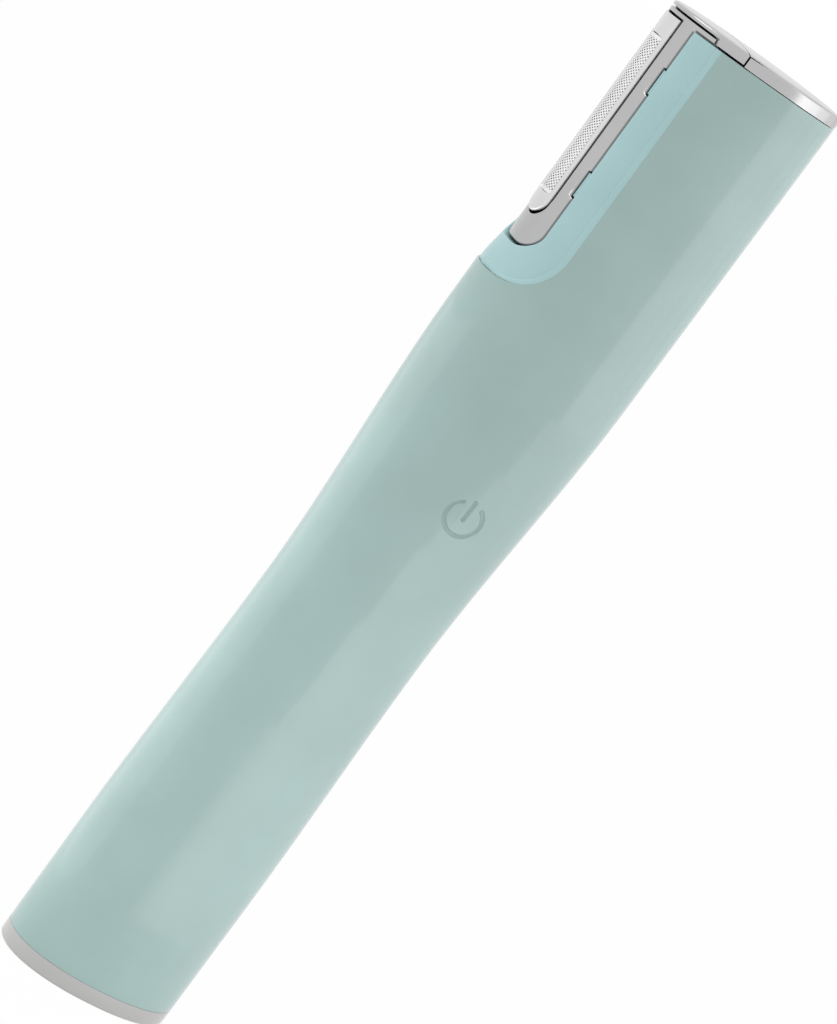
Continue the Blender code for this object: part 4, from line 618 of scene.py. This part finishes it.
def cap_shape(turn, cut, underside, edge=0.2, top=149.5, crown=0.5, plug=0.93, plug_slope=0.03):
    """Cap on one side of a cut: the dome's height goes with the root of what is left of the oval's
    share; then a rounded rim, the band's side and an underside at a height given by place."""
    rim, side = on_band(turn, edge), on_band(turn)
    chord = np.stack([np.full(len(turn), cut), rim[:, 1]], -1)
    rows = []
    for share in np.sin(np.linspace(0, np.pi / 2, 16)):
        place = chord + (rim - chord) * share
        left_over = np.clip(1 - band_share(place, edge) ** (2 / OVAL), 0, 1)
        rows.append(np.column_stack([place, top + crown * np.sqrt(left_over)]))
    for angle in np.linspace(np.pi / 2, 0, 6)[1:]:
        height = 0 * turn + top - edge + edge * np.sin(angle)
        rows.append(np.column_stack([on_band(turn, edge * (1 - np.cos(angle))), height]))
    bottom = underside(side[:, 0], 0)
    for share in (0.5, 0.9, 1.0):
        rows.append(np.column_stack([side, top - edge + (bottom - top + edge) * share]))
    outer = np.stack(rows)
    inner = outer.copy()
    inner[..., 2] = underside(outer[..., 0], smooth((plug - band_share(outer)) / plug_slope))
    return thick(outer, inner)


def cassette_underside(x, inside, foot=148.2, recess=0.25):
    """Height of the left cap's underside: it stands on the frame and steps up over the flange, where a
    low plug stays inside its border."""
    over_flange = 1 - smooth((x - CAP_STEP) / STEP_SLOPE)
    return foot + (STEP_FOOT - foot) * over_flange - recess * inside * (x < CAP_STEP)


def wand_underside(x, inside, foot=148.0):
    """Height of the right cap's underside: the same at every place, just over the casing."""
    return foot + 0 * x


step_turns = [turn_at(x) for x in (CAP_STEP, CAP_STEP + STEP_SLOPE)]
cassette_turns = left_turns(CASSETTE_CUT, step_turns + [2 * np.pi - turn for turn in step_turns])
wand_turns = np.linspace(-turn_at(WAND_CUT), turn_at(WAND_CUT), 60)
cassette_cap, wand_cap = [cap_shape(turns, cut, underside) for turns, cut, underside in
                          ((cassette_turns, CASSETTE_CUT, cassette_underside),
                           (wand_turns, WAND_CUT, wand_underside))]
piece("cassette_cap", cassette_cap, chrome_painted_shade, "cassette", "head_cap")
piece("wand_cap", wand_cap, chrome, "wand", "top_cap")


# Foil holder: a bright chrome bar, crowned across, with a window for the foil. It floats in the
# frame's slot on two springs, and a collar behind the slot keeps it in.

def ring_solid(*rows):
    """Ring-shaped solid: rows of (path, x) round a profile whose last row joins the first."""
    return tube(np.stack([np.column_stack([x + 0 * path[:, 0], path]) for path, x in rows + rows[:1]]))


def holder_shape(gap=0.3, lip=0.12, rounding=0.3, crest=-12.97, rise=1.0, crown_half=2.6, flange=-10.55,
                 back=-9.85, collar=0.7, chamfer=0.05, opening=(1.8, 11.85)):
    """Bar with a stadium-shaped lower end, crowned across by a quarter ellipse, with a window and a
    collar behind."""
    def rim(grow):
        return closed(channel(SLOT, grow - gap))

    def crown(path):
        return crest + rise * (1 - np.sqrt(1 - np.clip(np.abs(path[:, 0]) / crown_half, 0, 1) ** 2))

    def window(grow):
        return squared(opening[0] + grow, opening[1] + grow, rim(0))

    top, edge = rim(-rounding), window(lip)
    inside = [(window(lip * (1 - np.cos(a))), crown(edge) + lip * (1 - np.sin(a)))
              for a in np.linspace(0, np.pi / 2, 5)]
    middle = [edge + (top - edge) * share for share in np.linspace(0, 1, 8)[1:-1]]
    outside = [(rim(-rounding * (1 - np.sin(a))), crown(top) + rounding * (1 - np.cos(a)))
               for a in np.linspace(0, np.pi / 2, 6)]
    return ring_solid((window(0), back), *inside, *((path, crown(path)) for path in middle), *outside,
                      (rim(0), flange), (rim(collar - chamfer), flange), (rim(collar), flange + chamfer),
                      (rim(collar), back))


bright = look("bright_chrome", **{**CHROME, "main": (0.72, 0.72, 0.72, 1)})
piece("holder_bar", holder_shape(), bright, "foil", "foil_holder")


# Foil: a sheet of thin steel, etched with fine holes and bent to an arch. Its two skirts are held in
# the holder's window.

def foil_shape(half=1.5, spring=-12.07, crest=-13.2, skirt=-10.57, reach=11.82, gauge=0.06, across=68,
               along=396, pitch=8, plain=7):
    """Arch (half ellipse) between two skirts, along the holder. Cells are left out of the grid in
    staggered rows of fine six-sided holes: four cells long, three wide, with their corners kept."""
    legs = np.linspace(skirt, spring, 3)[:-1]
    foot = np.concatenate([legs, np.full(across + 1, spring), legs[::-1]])
    turn = np.concatenate([np.zeros(2), np.linspace(0, np.pi, across + 1), np.full(2, np.pi)])
    z = HEAD_CENTRE + reach * np.linspace(-1, 1, along + 1)

    def sheet(inset):
        x = foot - (spring - crest - inset) * np.sin(turn)
        y = (half - inset) * np.cos(turn)
        return np.stack(np.broadcast_arrays(x[None], y[None], z[:, None]), -1)

    row, column = np.mgrid[0:along, 0:across + 4]
    band, place = np.divmod(column - 4, 4)
    step = (row + band % 2 * pitch // 2) % pitch
    pierced = (row > plain) & (row < along - plain - 1) & (band > 0) & (band < 15)
    hole = pierced & (step > 1) & (step < 6) & (place < 3)
    corner = np.isin(step, (2, 5)) & np.isin(place, (0, 2))
    return thick(sheet(0), sheet(gauge), ~(hole & ~corner))


steel = look("foil_steel", (0.86, 0.86, 0.87, 1), 0.25, metal=1, relief=0.001, mottle=0.04)
piece("foil_sheet", foil_shape(), steel, "foil", "shaving_foil")


# Base cap: a pale grey moulded end that shows as a narrow ring under the casing. Its skirt plugs into
# the casing's lower end, and it pulls off downward.

def base_shape(lip=0.4, edge=0.05, ring_top=2.37, skirt_top=6.3, skirt=(1.5, 2.5), bevel=0.1, floor=1.5):
    """One profile of (scale, inset, height) carried round the oval, from the sole's middle round the
    ring and the skirt to the floor's middle."""
    outside, inside = skirt
    profile = [(scale, lip, 0.0) for scale in (0, 0.3, 0.6, 0.85, 0.97)]
    profile += [(1, lip * (1 - np.sin(a)), lip * (1 - np.cos(a))) for a in np.linspace(0, np.pi / 2, 7)]
    profile += [(1, edge * (1 - np.cos(a)), ring_top - edge * (1 - np.sin(a)))
                for a in np.linspace(0, np.pi / 2, 4)]
    profile += [(1, outside, ring_top), (1, outside, skirt_top - bevel), (1, outside + bevel, skirt_top),
                (1, inside - bevel, skirt_top), (1, inside, skirt_top - bevel), (1, inside, floor)]
    profile += [(scale, inside, floor) for scale in (0.8, 0.4, 0)]
    turn = np.linspace(0, 2 * np.pi, 160, endpoint=False)
    rings = [oval(turn, height, 0, (BASE - inset) * scale) for scale, inset, height in profile]
    return tube(np.stack(rings))


pale = look("pale_grey_plastic", "BDBCBB", 0.35, coat=1.0, mottle=0.02)
piece("end_cap", base_shape(), pale, "base", "base_cap")


# Parts inside: cutters, drive, motor, board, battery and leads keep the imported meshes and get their
# own finish: steel, brass, rubber, painted board, wrapped battery and moulded plastics.

white = look("white_plastic", "E6E6E1", 0.42)
dark = look("dark_plastic", "2B2C2E", 0.5)
brass = look("brass", (0.72, 0.53, 0.26, 1), 0.28, metal=1)
rubber = look("black_rubber", "1C1C1C", 0.8, relief=0.01)
inside = [
    (steel, ("cutter_block", "cutter_leaf_spring", "foil_spring_lower", "foil_spring_upper", "motor_shaft",
             "motor_can", "tact_switch", "clamp_screw_lower", "clamp_screw_upper", "board_screw_lower",
             "board_screw_upper", "motor_clamp")),
    (white, ("cutter_carrier", "drive_bridge", "drive_chassis", "battery_sleeve")),
    (dark, ("cutter_seat", "crank_cam", "motor_end_bell", "switch_plunger")),
    (brass, ("positive_contact", "contact_plate", "negative_spring", "negative_strip")),
    (rubber, ("drive_seal", "base_seal")),
    (look("board_green", "1F6B4A", 0.4), ("circuit_board",)),
    (look("battery_blue", "24407A", 0.35), ("battery_cell",)),
    (look("red_lead", "A81E1E", 0.5), ("lead_red",)),
    (look("black_lead", "202020", 0.5), ("lead_black",)),
]
for finish, names in inside:
    for name in names:
        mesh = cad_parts[name].data
        mesh.materials.clear()
        mesh.materials.append(finish)


# Setting: a white floor that keeps a little of the shadow, white surroundings, and lamps that the
# camera doesn't see. Narrow strips close by, dimmer toward the back, make the soft light edge on the
# right. The camera stands at the photograph's angle.

WHITE = (1, 1, 1, 1)
FLOOR_GREY = (0.8, 0.8, 0.8, 1)
FLOOR_SHOWN, ROOM_LIGHT = 0.98, 0.62
FLOOR_RADII = np.array([0, 150, 400, 900, 2000, 4000.0])


def seen(start):
    """Share of a ray that shows things to the camera: straight, in a mirror or through glass."""
    rays = [start.node("LightPath", output=name) for name in
            ("Is Camera Ray", "Is Glossy Ray", "Is Transmission Ray")]
    return rays[0] + rays[1] + rays[2]


def floor_look():
    """White floor: most of its whiteness is shown to the camera alone, the rest is lit and takes the
    shadow."""
    material = bpy.data.materials.new("floor")
    material.use_nodes = True
    material.node_tree.nodes.clear()
    start = Wire(material.node_tree)
    lit = start.node("BsdfDiffuse", {}, {"Color": FLOOR_GREY})
    shining = start.node("Emission", {}, {"Color": WHITE, "Strength": 1.0})
    shown = start.node("MixShader", {}, {0: seen(start) * FLOOR_SHOWN, 1: lit, 2: shining})
    shown.node("OutputMaterial", {}, {"Surface": shown})
    return material


turn = np.linspace(0, 2 * np.pi, 64, endpoint=False)
rings = [FLOOR_RADII[:, None] * np.cos(turn), FLOOR_RADII[:, None] * np.sin(turn), 0.0]
points, quads = tube(np.stack(np.broadcast_arrays(*rings), -1))
ground = bpy.data.meshes.new("floor")
ground.from_pydata((points * MM).tolist(), [], quads.tolist())
floor = bpy.data.objects.new("floor", ground)
ground.materials.append(floor_look())
bpy.context.scene.collection.objects.link(floor)

world = bpy.data.worlds.new("studio")
bpy.context.scene.world = world
world.use_nodes = True
world.node_tree.nodes.clear()
sky = Wire(world.node_tree)
room = sky.node("Background", {}, {"Color": WHITE, "Strength": ROOM_LIGHT})
white_room = sky.node("Background", {}, {"Color": WHITE, "Strength": 1.0})
mixed = sky.node("MixShader", {}, {0: seen(sky), 1: room, 2: white_room})
mixed.node("OutputWorld", {}, {"Surface": mixed})


def facing(across, back, place):
    """Matrix of a thing that looks against a direction, with its right side along another."""
    return Matrix.Translation(place) @ Matrix((across, back.cross(across), back)).transposed().to_4x4()


def lamp(name, azimuth, height, distance, size, radiance, aim):
    """Soft rectangular lamp, turned to a point over the wand's foot. Its power follows from the
    radiance of its face: pi times area times radiance."""
    light = bpy.data.lights.new(name, "AREA")
    light.shape, light.size, light.size_y = "RECTANGLE", size[0] * MM, size[1] * MM
    light.energy = np.pi * light.size * light.size_y * radiance
    thing = bpy.data.objects.new(name, light)
    turn, rise = np.radians(azimuth), np.radians(height)
    back = Vector((np.sin(turn) * np.cos(rise), -np.cos(turn) * np.cos(rise), np.sin(rise)))
    across = Vector((np.cos(turn), np.sin(turn), 0))
    thing.matrix_world = facing(across, back, Vector((0, 0, aim * MM)) + back * distance * MM)
    thing.visible_camera = False
    bpy.context.scene.collection.objects.link(thing)


# Each strip: first and last azimuth (degrees right of the front), low and high end (mm), radiance.
STRIP_DISTANCE = 45
STRIPS = [(5, 11, 0, 36, 0.45), (11, 14, 0, 40, 0.85), (14, 17.5, 0, 54, 0.9), (17.5, 21, 0, 66, 0.95),
          (21, 25, 0, 71, 0.95), (25, 29, 0, 75, 0.9), (29, 33, 0, 80, 0.8), (33, 39.5, 0, 92, 0.65),
          (39.5, 50, 0, 92, 0.5), (50, 62, 0, 92, 0.35), (62, 78, 0, 92, 0.2), (78, 95, 0, 92, 0.08),
          (39.5, 50, 92, 180, 1.05), (50, 62, 92, 180, 0.85), (62, 78, 92, 180, 0.5), (78, 95, 92, 180, 0.2)]
for first, last, low, high, radiance in STRIPS:
    width = 2 * STRIP_DISTANCE * np.tan(np.radians(last - first) / 2)
    size, middle = (width, high - low), (low + high) / 2
    lamp("right_strip", (first + last) / 2, 0, STRIP_DISTANCE, size, radiance, middle)
lamp("left_lamp", -105, 0, 45, (75, 97), 0.5, 48.5)
lamp("key_lamp", -75, 40, 700, (500, 500), 1.5, 75)

AZIMUTH, LEAN = np.radians(-26.0), np.radians(36.26)
CAMERA_BACK, CAMERA_HIGH = 430, 162.5
AIM_SIDE, AIM_HIGH = -0.48, 77.56
camera = bpy.data.cameras.new("camera")
camera.lens, camera.sensor_width = 119.8, 36
view = bpy.data.objects.new("camera", camera)
bpy.context.scene.collection.objects.link(view)
bpy.context.scene.camera = view
side = Vector((np.cos(AZIMUTH), np.sin(AZIMUTH), 0))
place = Vector((CAMERA_BACK * np.sin(AZIMUTH), -CAMERA_BACK * np.cos(AZIMUTH), CAMERA_HIGH)) * MM
back = (place - (side * AIM_SIDE + Vector((0, 0, AIM_HIGH))) * MM).normalized()
right = side * np.cos(LEAN) + back.cross(side) * np.sin(LEAN)
view.matrix_world = facing(right, back, place)

bpy.context.scene.view_settings.view_transform = "Standard"
